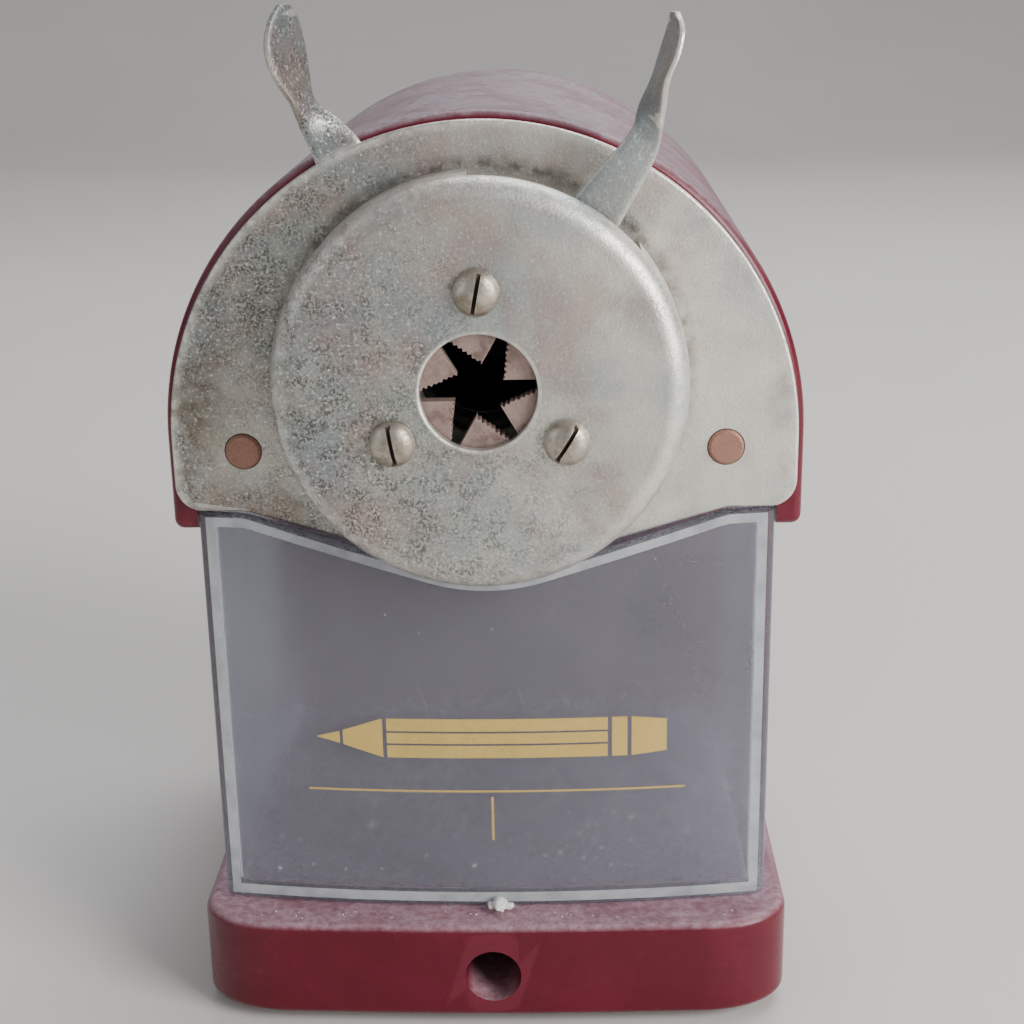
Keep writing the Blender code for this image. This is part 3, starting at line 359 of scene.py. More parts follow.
# %% Group: worn edges
wear, take, give = new_group("Worn edges", {"Place": None, "Amount": 0.5}, ["Mask"])
point = put(wear, "NewGeometry").outputs["Pointiness"]
ragged = noisy(wear, take["Place"], 900.0, 3.0)
sharp = ramp(wear, maths(wear, "ADD", point, maths(wear, "MULTIPLY", ragged, 0.04)), 0.53, 0.60)
wear.links.new(maths(wear, "MULTIPLY", sharp, take["Amount"], True), give["Mask"])

# %% [markdown]
# Some marks follow a circle: pencils rub the edge of the hole, the cup's shoulder is partly rubbed by fingers and
# partly lit by a painted highlight, the plate's rolled rim gets a painted highlight, and the corner round the cup
# gets painted shade. This group gives a soft ring round a line along y, from the distance to it.

# %% Group: ring mark
ring_mark, take, give = new_group("Ring mark", {"Place": None, "Centre Z": 0.08, "Radius": 0.01, "Width": 0.001},
                                  ["Mask"])
parts = put(ring_mark, "SeparateXYZ", {0: take["Place"]}).outputs
rise = maths(ring_mark, "SUBTRACT", parts["Z"], take["Centre Z"])
squares = maths(ring_mark, "ADD", maths(ring_mark, "MULTIPLY", parts["X"], parts["X"]),
                maths(ring_mark, "MULTIPLY", rise, rise))
away = maths(ring_mark, "ABSOLUTE", maths(ring_mark, "SUBTRACT", maths(ring_mark, "SQRT", squares), take["Radius"]))
ragged = noisy(ring_mark, take["Place"], 700.0, 4.0)
near = maths(ring_mark, "SUBTRACT", 1.0, maths(ring_mark, "DIVIDE", away, take["Width"]), True)
broken = maths(ring_mark, "MULTIPLY", near, ramp(ring_mark, ragged, 0.35, 0.6, 0.35, 1.0))
ring_mark.links.new(broken, give["Mask"])
print("effects:", ", ".join(g.name for g in bpy.data.node_groups))

# %% [markdown]
# ## Materials
# Each material starts from the same few nodes, and ends with the same few links into its shader. Between the
# two it mixes colours, one effect over the other, the way stains and dust came over the real surface.

# %% Starting and wiring up a material
def start(name):
    """A new material, its tree, its Principled shader, and the place on the object in metres."""
    made = bpy.data.materials.new(name)
    made.use_nodes = True
    tree = made.node_tree
    shader = tree.nodes["Principled BSDF"]
    place = put(tree, "TexCoord").outputs["Object"]
    return made, tree, shader, place


def patchy(tree, place, size, seed, sharpness):
    return use(tree, patches, Place=place, Size=size, Seed=seed, Sharpness=sharpness)["Mask"]


def wire_up(tree, shader, colour, roughness, height=None, depth=0.0, metallic=0.0):
    tree.links.new(colour, shader.inputs["Base Color"])
    tree.links.new(roughness, shader.inputs["Roughness"])
    shader.inputs["Metallic"].default_value = metallic
    if height is not None:
        bump = put(tree, "Bump", {"Height": height, "Distance": depth, "Strength": 1.0})
        tree.links.new(bump.outputs["Normal"], shader.inputs["Normal"])


# %% [markdown]
# ### Maroon plastic
# The housing and base are moulded in a deep maroon plastic. The gloss has gone a little soft, dust has dried
# on everything that faces up, and the edges are rubbed lighter. It could be one colour with a roughness value,
# but the dust and the uneven gloss are what tell the eye its age.

# %% Maroon plastic
def maroon_plastic(name, dust_amount, film_colour):
    made, tree, shader, place = start(name)
    cloud = patchy(tree, place, 0.012, 3.0, 0.2)
    colour = blend(tree, cloud, (0.098, 0.0016, 0.0110, 1), (0.122, 0.0030, 0.0165, 1))
    edges = use(tree, wear, Place=place, Amount=0.30)["Mask"]
    colour = blend(tree, edges, colour, (0.22, 0.030, 0.055, 1))
    stain = patchy(tree, place, 0.008, 12.0, 0.3)
    film = use(tree, dust, Place=place, Amount=dust_amount, Size=0.0011)["Mask"]
    thin = maths(tree, "MULTIPLY", film, ramp(tree, stain, 0, 1, 1.0, 0.70))
    colour = blend(tree, thin, colour, film_colour)
    lines = use(tree, scratches, Place=place, Spacing=0.0016, Amount=0.07)["Mask"]
    rough = maths(tree, "ADD", ramp(tree, cloud, 0, 1, 0.22, 0.31), maths(tree, "MULTIPLY", film, 0.5))
    rough = maths(tree, "ADD", rough, lines, True)
    grain = use(tree, speckle, Place=place, Grain=0.0005, Contrast=0.3)["Height"]
    wire_up(tree, shader, colour, rough, grain, 0.000012)
    shader.inputs["Specular IOR Level"].default_value = 0.35
    shader.inputs["Coat Weight"].default_value = 0.08
    shader.inputs["Coat Roughness"].default_value = 0.18
    return made


maroon = maroon_plastic("maroon_plastic_housing", 0.85, (0.42, 0.38, 0.43, 1))
maroon_base = maroon_plastic("maroon_plastic_base", 0.85, (0.50, 0.35, 0.41, 1))

# %% [markdown]
# ### Dull plated steel
# The front plate, the cup and the levers are sheet steel with an old plated skin: a warm grey with a greenish
# cast, salt-and-pepper speckle, faint pink and blue stains where the plating has thinned, and brown grime where
# fingers don't reach. The stains are slow patches with different seeds. The grime sits low on the left, so its
# mask is measured from the pencil axis in the object's own coordinates. Beside these, the colour is painted
# darker towards the left and the lower left, with heavier speckle there: painted shade, for the shadow that the
# cup casts on the plate. Soft rings add a rubbed edge round the pencil hole, a painted highlight along the plate's
# rolled rim, a band on the cup's shoulder that is partly rubbed and partly painted highlight, and painted shade
# in the corner round the cup.

# %% Dull plated steel
def plated_steel(name, grime, speck, light, edge_wear=0.6, worn_and_highlight_rings=(), painted_shade_rings=()):
    """Rings are given as (centre height, radius, width, amount), in metres."""
    made, tree, shader, place = start(name)
    xyz = put(tree, "SeparateXYZ", {0: place}).outputs
    warm = tuple(light * c for c in (0.80, 0.77, 0.69)) + (1,)
    green = tuple(light * c for c in (0.58, 0.61, 0.57)) + (1,)
    colour = blend(tree, patchy(tree, place, 0.016, 1.0, 0.1), warm, green)
    # Painted shade: the colour turns dark grey-green towards the left, for the shadow that the cup casts; speck
    # sets its strength.
    leftward = ramp(tree, xyz["X"], 0.022, -0.038)
    cloud = patchy(tree, place, 0.013, 15.0, 0.1)
    painted_left_shade = maths(tree, "MULTIPLY", leftward, ramp(tree, cloud, 0, 1, 0.74, 0.95))
    colour = blend(tree, maths(tree, "MULTIPLY", painted_left_shade, speck), colour, (0.085, 0.095, 0.090, 1))
    blue = patchy(tree, place, 0.010, 7.3, 0.35)
    colour = blend(tree, maths(tree, "MULTIPLY", blue, 0.42), colour, (0.21, 0.28, 0.34, 1))
    pink = patchy(tree, place, 0.008, 4.1, 0.5)
    colour = blend(tree, maths(tree, "MULTIPLY", pink, 0.44), colour, (0.43, 0.25, 0.22, 1))
    specks = use(tree, speckle, Place=place, Grain=0.00033, Contrast=0.95)
    # Painted shade over real speckle: the dark specks grow heavier towards the lower left, where the cup's shadow
    # falls.
    down = maths(tree, "SUBTRACT", axis_z, xyz["Z"])
    corner = maths(tree, "SUBTRACT", maths(tree, "MULTIPLY", down, 0.35), maths(tree, "MULTIPLY", xyz["X"], 0.95))
    low_left_speckle_and_shade = ramp(tree, corner, -0.022, 0.020, 0.16, 1.0)
    dark = maths(tree, "MULTIPLY", specks["Mask"], maths(tree, "MULTIPLY", low_left_speckle_and_shade, speck), True)
    colour = blend(tree, dark, colour, (0.045, 0.045, 0.040, 1))
    salt = ramp(tree, use(tree, speckle, Place=place, Grain=0.00045, Contrast=0.5)["Height"], 0.56, 0.68)
    bright = maths(tree, "MULTIPLY", salt, ramp(tree, low_left_speckle_and_shade, 0.16, 1.0, 0.30, 0.62))
    colour = blend(tree, bright, colour, (0.90, 0.91, 0.86, 1))
    brown = patchy(tree, place, 0.005, 9.0, 0.3)
    low_left = ramp(tree, maths(tree, "ADD", corner, maths(tree, "MULTIPLY", down, 0.9)), 0.012, 0.040)
    brown = maths(tree, "MULTIPLY", maths(tree, "MULTIPLY", brown, low_left), grime)
    colour = blend(tree, brown, colour, (0.15, 0.095, 0.050, 1))
    # Bright rings: rubbed wear round the hole, painted highlight on the rolled rim, both on the cup's shoulder.
    # Dark ring: painted shade round the cup.
    for rings, tone in ((worn_and_highlight_rings, (0.88, 0.86, 0.79, 1)), (painted_shade_rings, (0.055, 0.050, 0.040, 1))):
        for centre_z, radius, width, amount in rings:
            band = use(tree, ring_mark, Place=place, Centre_Z=centre_z, Radius=radius, Width=width)["Mask"]
            colour = blend(tree, maths(tree, "MULTIPLY", band, amount, True), colour, tone)
    edges = use(tree, wear, Place=place, Amount=edge_wear)["Mask"]
    colour = blend(tree, edges, colour, (0.80, 0.78, 0.70, 1))
    rough = ramp(tree, specks["Mask"], 0, 1, 0.40, 0.66)
    wire_up(tree, shader, colour, rough, specks["Height"], 0.00005, 0.80)
    return made


hole_r = 6.5 * MM
# rolled_edge is a painted highlight, cup_corner is painted shade, cup_shoulder is partly rubbed and partly painted
# highlight, hole_edge is rubbed.
rolled_edge = (arch_z, plate_r - 0.3 * MM, 0.9 * MM, 0.7)
cup_corner = (axis_z, cover_r + 0.4 * MM, 1.3 * MM, 0.85)
hole_edge = (axis_z, hole_r + 0.2 * MM, 0.35 * MM, 1.0)
cup_shoulder = (axis_z, cover_r - 0.8 * MM, 1.6 * MM, 0.55)
plated = plated_steel("dull_plated_steel_plate", 0.75, 1.0, 1.05, 0.5, [rolled_edge], [cup_corner])
plated_cup = plated_steel("dull_plated_steel_cup", 0.2, 0.80, 0.92, 0.0, [hole_edge, cup_shoulder])
plated_lever = plated_steel("dull_plated_steel_levers", 0.15, 0.45, 0.66, 0.9)
print("plated finishes:", plated.name, plated_cup.name, plated_lever.name)

# %% [markdown]
# ### Smaller metals
# The jaws and rod ends are steel with a thin copper skin, rubbed to a pinkish brown. The screws are nickel
# plated, springs and pins are bright drawn steel, the gears and carrier are cast zinc, and the cutter is dark
# hardened steel. They share one recipe: a base colour, a stain colour, a speckle and worn edges.

# %% Metals by recipe
def metal(name, base, stain, roughness, metallic=0.9, stain_size=0.004, stain_amount=0.5, bumps=0.00003):
    made, tree, shader, place = start(name)
    cloud = patchy(tree, place, stain_size, 2.0, 0.4)
    colour = blend(tree, maths(tree, "MULTIPLY", cloud, stain_amount), (*base, 1), (*stain, 1))
    specks = use(tree, speckle, Place=place, Grain=0.00028, Contrast=0.6)
    colour = blend(tree, maths(tree, "MULTIPLY", specks["Mask"], 0.35), colour, (*[c * 0.4 for c in stain], 1))
    edges = use(tree, wear, Place=place, Amount=0.5)["Mask"]
    colour = blend(tree, edges, colour, (*[min(1, c * 1.5) for c in base], 1))
    rough = ramp(tree, specks["Mask"], 0, 1, roughness, min(1, roughness + 0.2))
    wire_up(tree, shader, colour, rough, specks["Height"], bumps, metallic)
    return made


coppered = metal("coppered_steel", (0.36, 0.26, 0.235), (0.16, 0.105, 0.09), 0.5, 0.6, 0.0016, 0.9)
rod_copper = metal("coppered_rod_end", (0.31, 0.165, 0.125), (0.17, 0.10, 0.08), 0.55, 0.6)
nickel = metal("nickel_plated_screw", (0.50, 0.46, 0.39), (0.24, 0.19, 0.14), 0.34, 0.9, 0.0018, 0.75)
grime = metal("screw_slot_grime", (0.075, 0.055, 0.042), (0.03, 0.02, 0.015), 0.85, 0.2)
drawn = metal("drawn_steel", (0.52, 0.52, 0.53), (0.30, 0.27, 0.24), 0.28)
cast = metal("cast_zinc", (0.36, 0.36, 0.38), (0.22, 0.22, 0.23), 0.48, 0.85, 0.006, 0.6, 0.00008)
hard = metal("hardened_cutter_steel", (0.20, 0.20, 0.21), (0.10, 0.08, 0.07), 0.30, 0.95)
bearing = metal("oiled_bronze", (0.42, 0.27, 0.12), (0.22, 0.13, 0.06), 0.35)
print("metals:", ", ".join(m.name for m in (coppered, rod_copper, nickel, grime, drawn, cast, hard, bearing)))

# %% [markdown]
# ### Black plastic and rubber
# The knob and rear cap are satin black mouldings, and the pad under the base is matt rubber. Black is never
# even: handling polishes it in patches, and dust greys it.

# %% Black plastic and rubber
def black(name, tone, low_rough, high_rough, dust_amount, depth):
    made, tree, shader, place = start(name)
    cloud = patchy(tree, place, 0.007, 5.0, 0.2)
    film = use(tree, dust, Place=place, Amount=dust_amount, Size=0.0012)["Mask"]
    colour = blend(tree, cloud, (tone, tone, tone * 1.08, 1), (tone * 1.8, tone * 1.75, tone * 1.8, 1))
    colour = blend(tree, film, colour, (0.30, 0.28, 0.27, 1))
    edges = use(tree, wear, Place=place, Amount=0.3)["Mask"]
    colour = blend(tree, edges, colour, (0.09, 0.09, 0.095, 1))
    rough = ramp(tree, cloud, 0, 1, low_rough, high_rough)
    rough = maths(tree, "ADD", rough, maths(tree, "MULTIPLY", film, 0.3), True)
    grain = use(tree, speckle, Place=place, Grain=0.0003, Contrast=0.3)["Height"]
    wire_up(tree, shader, colour, rough, grain, depth)
    return made


satin_black = black("satin_black_plastic", 0.012, 0.30, 0.45, 0.35, 0.00004)
rubber = black("matt_black_rubber", 0.016, 0.75, 0.9, 0.2, 0.00008)

# %% [markdown]
# ### Clear plastic
# The drawer is clear styrene that has greyed a little, hazed and been scratched by shavings. Real clear
# plastic is mostly transmission, but a share of it scatters, and that share is what makes the drawer read as
# grey and not as empty. Fine scratches and dust raise the roughness, so the haze isn't even. Light that
# should fall through a bent wall is lost in a path tracer, so shadow rays see the walls as a pale filter.

# %% Clear and frosted plastic
styrene_ior = 1.49
clear, tree, shader, place = start("clear_scratched_plastic")
cloud = patchy(tree, place, 0.014, 6.0, 0.1)
lines = use(tree, scratches, Place=place, Spacing=0.0011, Amount=1.0)["Mask"]
specks = use(tree, speckle, Place=place, Grain=0.0007, Contrast=0.95)["Mask"]
film = use(tree, dust, Place=place, Amount=0.7, Size=0.0016)["Mask"]
colour = blend(tree, cloud, (0.64, 0.65, 0.72, 1), (0.57, 0.58, 0.65, 1))
colour = blend(tree, maths(tree, "MULTIPLY", film, 0.5), colour, (0.75, 0.73, 0.74, 1))
rough = maths(tree, "ADD", ramp(tree, cloud, 0, 1, 0.07, 0.15), maths(tree, "MULTIPLY", lines, 0.10))
rough = maths(tree, "ADD", rough, maths(tree, "MULTIPLY", film, 0.35))
rough = maths(tree, "ADD", rough, maths(tree, "MULTIPLY", specks, 0.08), True)
wire_up(tree, shader, colour, rough, lines, 0.000004)
shader.inputs["Transmission Weight"].default_value = 0.93
shader.inputs["IOR"].default_value = styrene_ior
see_through = put(tree, "BsdfTransparent", {"Color": (0.68, 0.68, 0.71, 1)})
shadow = put(tree, "LightPath").outputs["Is Shadow Ray"]
mixed = put(tree, "MixShader", {0: shadow, 1: shader.outputs[0], 2: see_through.outputs[0]})
tree.links.new(mixed.outputs[0], tree.nodes["Material Output"].inputs["Surface"])
print("clear plastic: transmission", shader.inputs["Transmission Weight"].default_value)

frosted, tree, shader, place = start("frosted_plastic_edge")
cloud = patchy(tree, place, 0.003, 9.5, 0.3)
grains = use(tree, speckle, Place=place, Grain=0.0005, Contrast=0.6)
colour = blend(tree, cloud, (0.80, 0.84, 0.87, 1), (0.58, 0.61, 0.64, 1))
wire_up(tree, shader, colour, ramp(tree, grains["Mask"], 0, 1, 0.35, 0.6), grains["Height"], 0.00003)
shader.inputs["Transmission Weight"].default_value = 0.55
shader.inputs["IOR"].default_value = styrene_ior

# %% [markdown]
# ### Gold print and crumbs
# The print is a thin gold foil, so it takes the metal recipe without bumps. The crumbs are chalky and matt, with
# fine patches only, because they are too small to show more.

# %% Gold foil and chalky crumbs
gold = metal("gold_print", (0.62, 0.45, 0.15), (0.45, 0.31, 0.10), 0.35, 0.75, 0.003, 0.5, 0.0)
chalk, tree, shader, place = start("chalky_crumb")
cloud = patchy(tree, place, 0.0006, 8.0, 0.2)
colour = blend(tree, cloud, (0.82, 0.80, 0.76, 1), (0.60, 0.56, 0.50, 1))
wire_up(tree, shader, colour, ramp(tree, cloud, 0, 1, 0.8, 0.95))

# %% [markdown]
# ## Housing
# The housing is one moulding: an arched tunnel open at the front, a bulkhead that guides the rods and the
# pencil, and a hollow column at the back that stands on the base. It could be modelled face by face, but it is
# made as it would be designed: one tall solid arch, with a bay cut out for the drawer, rounded and then hollowed.

# %% Housing
def arch(radius, half, floor_z, steps=96):
    top = arc((0, arch_z), radius, 0, 180, steps)
    return [(half, floor_z), (half, arch_z - MM)] + top + [(-half, arch_z - MM), (-half, floor_z)]


def vee_z(x, drop=0.0):
    """Height of the plate's lower edge: two shallow slopes and a round middle that follows the cup."""
    tilt = math.atan(slope)
    line = axis_z - vee_middle_r / math.cos(tilt) + slope * abs(x)
    if abs(x) < vee_middle_r * math.sin(tilt):
        line = axis_z - math.sqrt(vee_middle_r ** 2 - x * x)
    return min(line, vee_top_z) - drop


def vee_points(drop, half, steps=60):
    return [(x, vee_z(x, drop)) for x in (half * (1 - 2 * i / steps) for i in range(steps + 1))]


y_front, y_back = shell_low.y, shell_high.y
bulkhead = (front_y + 4.0 * MM, front_y + 6.5 * MM)
column_y = front_y + 57.0 * MM
bay_top_z = 63.6 * MM                   # the drawer slides in below this
inner_x, wall = 34.5 * MM, 2.6 * MM
guide_r, cap_seat_r = 9.0 * MM, 17.5 * MM
past = 5 * MM                           # how far a cutter stands clear of a face
far = 50 * MM                           # beyond every side of the housing
shell = pushed("housing", arch(arch_r, arch_r, shell_low.z), y_front, y_back)
cut(shell, block((-far, y_front - past, shell_low.z - past), (far, column_y, bay_top_z)))
rounded(shell, 1.2 * MM, 4, 60)
tunnel = arch(arch_r - wall, inner_x, bay_top_z - 20 * MM)
rear_room = arch(arch_r - wall, inner_x, bay_top_z + wall)
below = [(inner_x, 50 * MM)] + vee_points(-0.6 * MM, inner_x) + [(-inner_x, 50 * MM)]
cut(shell, pushed("front_room", tunnel, y_front - past, bulkhead[0]),
    pushed("tunnel", tunnel, bulkhead[1], column_y),
    pushed("rear_room", rear_room, column_y - MM, y_back - wall),
    block((-inner_x, column_y + wall, shell_low.z - past), (inner_x, y_back - wall, 64 * MM)),
    pushed("below_bulkhead", below, bulkhead[0] - MM, bulkhead[1] + MM),
    drill(guide_r, bulkhead[0] - MM, bulkhead[1] + MM),
    drill(cap_seat_r, column_y - 3 * MM, y_back + 3 * MM))
cut(shell, *[drill(rod_r + gap, bulkhead[0] - MM, bulkhead[1] + MM, side * rod_x, rod_z) for side in (-1, 1)])
hand_over(shell, "housing", "frame", ["housing_shell"], maroon)

# %% [markdown]
# ## Base
# The base is a separate maroon block with full round front corners and a slightly bowed front, and a hole for
# the hook of a desk clamp. It is an outline seen from above, pushed up, with its edges rounded.

# %% Base
base_front_y = -38.0 * MM
base_bow = 0.6 * MM
round_x, round_y = 11.5 * MM, 7.5 * MM  # the front corners are quarter ellipses
clamp_z = 7.4 * MM
sleeve_r, clamp_r = 5.3 * MM, 3.5 * MM


def base_plan(inset=0.0):
    x, front, back = base_high.x - inset, base_front_y + inset, base_high.y - inset
    corner_x, corner_y = round_x - inset, round_y - inset
    right = [(x - corner_x + corner_x * math.cos(math.radians(a)), front + base_bow + corner_y
              - corner_y * math.sin(math.radians(a))) for a in range(0, 91, 6)]
    bow = [(right[-1][0] * (1 - i / 8), front + base_bow * (1 - math.sin(math.pi / 2 * i / 8)))
           for i in range(1, 8)]
    half = right + bow
    return [(x, back)] + half + [(0, front)] + [(-px, py) for px, py in reversed(half)] + [(-x, back)]


foot = rounded(pushed("base", base_plan(), base_low.z, base_high.z, "z"), 1.1 * MM, 4, 50)
cut(foot, pushed("pocket", base_plan(2.8 * MM), base_low.z - 4 * MM, base_high.z - 2.4 * MM, "z"))
joined(foot, drill(sleeve_r, -37 * MM, -8 * MM, 0, clamp_z))
cut(foot, drill(clamp_r, -42 * MM, -4 * MM, 0, clamp_z))
hand_over(foot, "base_block", "frame", ["base"], maroon_base)

# %% [markdown]
# ## Drawer
# The drawer is an open clear box whose front bows out by almost three millimetres. Its front edge follows the
# plate's shallow vee. The bow is one circle through the corners, so the printed marks can follow it later.

# %% Drawer
bulge = 2.7 * MM
drawer_x = drawer_high.x
drawer_front_y = front_y + gap


def bow_y(x, half=drawer_x, front=drawer_front_y):
    radius = (half * half + bulge * bulge) / (2 * bulge)
    return front - math.sqrt(radius ** 2 - x * x) + math.sqrt(radius ** 2 - half * half)


def drawer_plan(inset=0.0):
    half, back = drawer_x - inset, drawer_high.y - inset
    xs = [half * (1 - 2 * i / 48) for i in range(49)]
    return [(half, back)] + [(x, bow_y(x, half, drawer_front_y + inset)) for x in xs] + [(-half, back)]


drawer_wall = 1.7 * MM
drawer_clearance = 0.6 * MM             # under the plate's lower edge
side_top_z = 65.9 * MM
tray = rounded(pushed("drawer", drawer_plan(), drawer_low.z, drawer_high.z + MM, "z"), 0.8 * MM, 3, 60)
hollow = pushed("hollow", drawer_plan(drawer_wall), drawer_low.z + drawer_wall, drawer_high.z + 10 * MM, "z")
above = vee_points(drawer_clearance, 38 * MM) + [(-38 * MM, 90 * MM), (38 * MM, 90 * MM)]
cut(tray, rounded(hollow, 0.7 * MM, 3, 60), pushed("vee", above, front_y - 10 * MM, front_y + 5 * MM),
    block((-far, front_y + 4 * MM, side_top_z), (far, front_y + 70 * MM, 90 * MM)),
    block((4 * MM - drawer_x, drawer_high.y - 6 * MM, 56 * MM),
          (drawer_x - 4 * MM, drawer_high.y + 6 * MM, 90 * MM)))
hand_over(tray, "clear_drawer", "drawer", ["shavings_drawer"], clear, 50)

# %% [markdown]
# ## Printed marks
# The drawer's front carries a gold print. The maker's words are left out, and a plain pencil sign stands in
# their place, over the thin rule and the short divider. Each mark is a thin strip of foil that follows the
# bow, given as stations of x with a low and a high edge.

# %% Gold marks
def lofted(bm, rings):
    """Joins each ring of points to the next, and closes both ends."""
    for first, second in zip(rings, rings[1:]):
        for k in range(len(first)):
            n = (k + 1) % len(first)
            bm.faces.new((first[k], first[n], second[n], second[k]))
    bm.faces.new(rings[0])
    bm.faces.new(rings[-1])


def strip(bm, stations):
    rings = []
    for x, low_z, high_z in stations:
        outer_y, inner_y = bow_y(x) - 0.03 * MM, bow_y(x) + 0.01 * MM
        rings.append([bm.verts.new(p) for p in ((x, outer_y, low_z), (x, outer_y, high_z),
                                                 (x, inner_y, high_z), (x, inner_y, low_z))])
    lofted(bm, rings)


def bar(bm, x0, x1, low_z, high_z, low_end=None, high_end=None):
    """A strip from x0 to x1 whose edges run straight to their values at the end."""
    low_end = low_z if low_end is None else low_end
    high_end = high_z if high_end is None else high_end
    stations = []
    for i in range(13):
        f = i / 12
        stations.append((x0 + (x1 - x0) * f, low_z + (low_end - low_z) * f, high_z + (high_end - high_z) * f))
    strip(bm, stations)


bm = bmesh.new()
mark_z = 37.8 * MM
tall = 2.6 * MM
point = 0.95 * MM                       # half of the height where the wood ends
for low_z, high_z in ((-2.6, -0.95), (-0.7, 0.7), (0.95, 2.6)):
    bar(bm, -12.6 * MM, 14.4 * MM, mark_z + low_z * MM, mark_z + high_z * MM)
bar(bm, 14.9 * MM, 16.8 * MM, mark_z - tall, mark_z + tall)
bar(bm, 17.3 * MM, 21.6 * MM, mark_z - tall, mark_z + tall, mark_z - 2.1 * MM, mark_z + 2.1 * MM)
bar(bm, -13.1 * MM, -18.0 * MM, mark_z - tall, mark_z + tall, mark_z - point, mark_z + point)
bar(bm, -18.4 * MM, -21.2 * MM, mark_z - 0.8 * MM, mark_z + 0.8 * MM, mark_z - 0.05 * MM, mark_z + 0.05 * MM)
bar(bm, -22.6 * MM, 23.9 * MM, 30.55 * MM, 30.80 * MM)
bar(bm, 0.05 * MM, 0.35 * MM, 24.0 * MM, 29.9 * MM)
hand_over(as_object("marks", bm), "gold_marks", "drawer", [], gold)

# %% [markdown]
# The drawer's edges look white, because the moulding is rough there and years of use have frosted it. Clear
# walls alone would show dark edges, so thin frosted bands follow the top edge, the foot and the front corners.

# %% Frosted edges of the drawer
def under_edge(x, distance):
    return vee_z(x, drawer_clearance) - distance


bm = bmesh.new()
reach = drawer_x - 0.9 * MM
band_low, band_high = 1.25 * MM, 0.12 * MM
xs = [reach * (2 * i / 60 - 1) for i in range(61)]
strip(bm, [(x, under_edge(x, band_low), under_edge(x, band_high)) for x in xs])
foot_low, foot_high = drawer_low.z + 0.8 * MM, drawer_low.z + 2.1 * MM
bar(bm, -reach, reach, foot_low, foot_high)
for side in (-1, 1):
    bar(bm, side * (reach - 1.1 * MM), side * reach, foot_high, under_edge(reach, band_low))
hand_over(as_object("edges", bm), "drawer_frosted_edges", "drawer", [], frosted)

# %% [markdown]
# ## Levers
# Each finger lever is cut from the same sheet as its plate and then twisted a quarter turn, so that the leaf
# stands across the finger. A ribbon through a few stations, each with its own width and direction, does the
# same: the stations are joined by a smooth curve, so the twist is even.

# %% Ribbon
SIDES = [(math.cos(math.tau * i / 20), math.sin(math.tau * i / 20)) for i in range(20)]
SECTION = [(math.copysign(abs(c) ** 0.45, c), math.copysign(abs(s) ** 0.55, s)) for c, s in SIDES]


def flow(a, b, c, d, f):
    """A smooth curve from b to c, on the way from a to d."""
    return 0.5 * (2 * b + (c - a) * f + (2 * a - 5 * b + 4 * c - d) * f * f + (3 * b - a - 3 * c + d) * f ** 3)


def ribbon(name, stations, steps=9):
    """Stations of (centre, width direction, width, thickness direction, thickness), in millimetres."""
    keys = [[Vector(c) * MM, Vector(w).normalized() * wide * MM / 2, Vector(t).normalized() * thick * MM / 2]
            for c, w, wide, t, thick in stations]
    bm, rings = bmesh.new(), []
    for i in range(len(keys) - 1):
        before, after = keys[max(i - 1, 0)], keys[min(i + 2, len(keys) - 1)]
        for s in range(steps + (i == len(keys) - 2)):
            centre, wide, thick = (flow(before[k], keys[i][k], keys[i + 1][k], after[k], s / steps)
                                   for k in range(3))
            rings.append([bm.verts.new(centre + wide * a + thick * b) for a, b in SECTION])
    lofted(bm, rings)
    return as_object(name, bm)


# %% [markdown]
# ## Front plate
# The front plate is a flat arch with its edge rolled over slightly, which catches the light all round. The
# left lever is one piece with it. The rod ends and the jaw posts pass through holes.

# %% Front plate with the left lever
corner_r = 3.2 * MM
mouth_r = 7.4 * MM
post_hole_r = 1.4 * MM
post_angles = range(30, 360, 60)
corner = (plate_r - corner_r, vee_top_z + corner_r)
right = arc(corner, corner_r, -80, 0, 10)
lower = list(reversed(vee_points(0, 31 * MM, 80)))
left = [(-x, z) for x, z in reversed(right)]
outline = right + arc((0, arch_z), plate_r, 0, 180, 120) + left + lower
plate = rounded(pushed("plate", outline, front_y, front_y + plate_t), 0.35 * MM, 3, 50)
y = 1000 * (front_y + plate_t / 2)
side, face, leaf, leaf_face = (0.94, 0, 0.34), (0, 1, 0), (0.34, 0.94, 0), (-0.94, 0.34, 0)
left_lever = ribbon("left_lever", [
    ((-13.8, y, 103.0), side, 6.8, face, 1.06), ((-15.3, y, 107.8), side, 5.8, face, 1.06),
    ((-17.3, y - 0.4, 111.2), (0.8, 0.45, 0.2), 4.6, (-0.45, 0.89, 0), 1.06),
    ((-18.9, y - 1.4, 113.7), leaf, 5.2, leaf_face, 1.06), ((-19.9, y - 2.4, 116.9), leaf, 8.0, leaf_face, 1.05),
    ((-20.3, y - 2.8, 119.8), leaf, 8.6, leaf_face, 1.0), ((-20.3, y - 2.8, 122.4), leaf, 6.2, leaf_face, 0.95),
    ((-20.2, y - 2.8, 124.0), leaf, 2.0, leaf_face, 0.8)])
joined(plate, left_lever)
through = (front_y - 3 * MM, front_y + 4 * MM)
cut(plate, drill(mouth_r, *through),
    *[drill(rod_r + 0.1 * MM, *through, s * rod_x, rod_z) for s in (-1, 1)],
    *[drill(post_hole_r, *through, *on_axis(post_at, a), 24) for a in post_angles])
hand_over(plate, "front_plate_skin", "carriage", ["front_plate"], plated, 30)

# %% [markdown]
# ## Chuck cup
# The cup is deep drawn, so its shoulder is a quarter round and its wall is thin. It is a profile turned round
# the pencil axis, with the pencil hole's edge broken, then a window for the lever and three screw holes.

# %% Chuck cup
depth, sheet, shoulder = 9.5 * MM, 0.9 * MM, 2.6 * MM
cup_front, cup_back = front_y - depth, front_y - gap
centre_r = cover_r - shoulder
screw_angles = (90, 210, 330)


def quarter(radius, offset, angles):
    """Points of a quarter round at the cup's shoulder."""
    turns = [math.radians(a) for a in angles]
    return [(centre_r + radius * math.sin(t), cup_front + offset + radius * (1 - math.cos(t))) for t in turns]


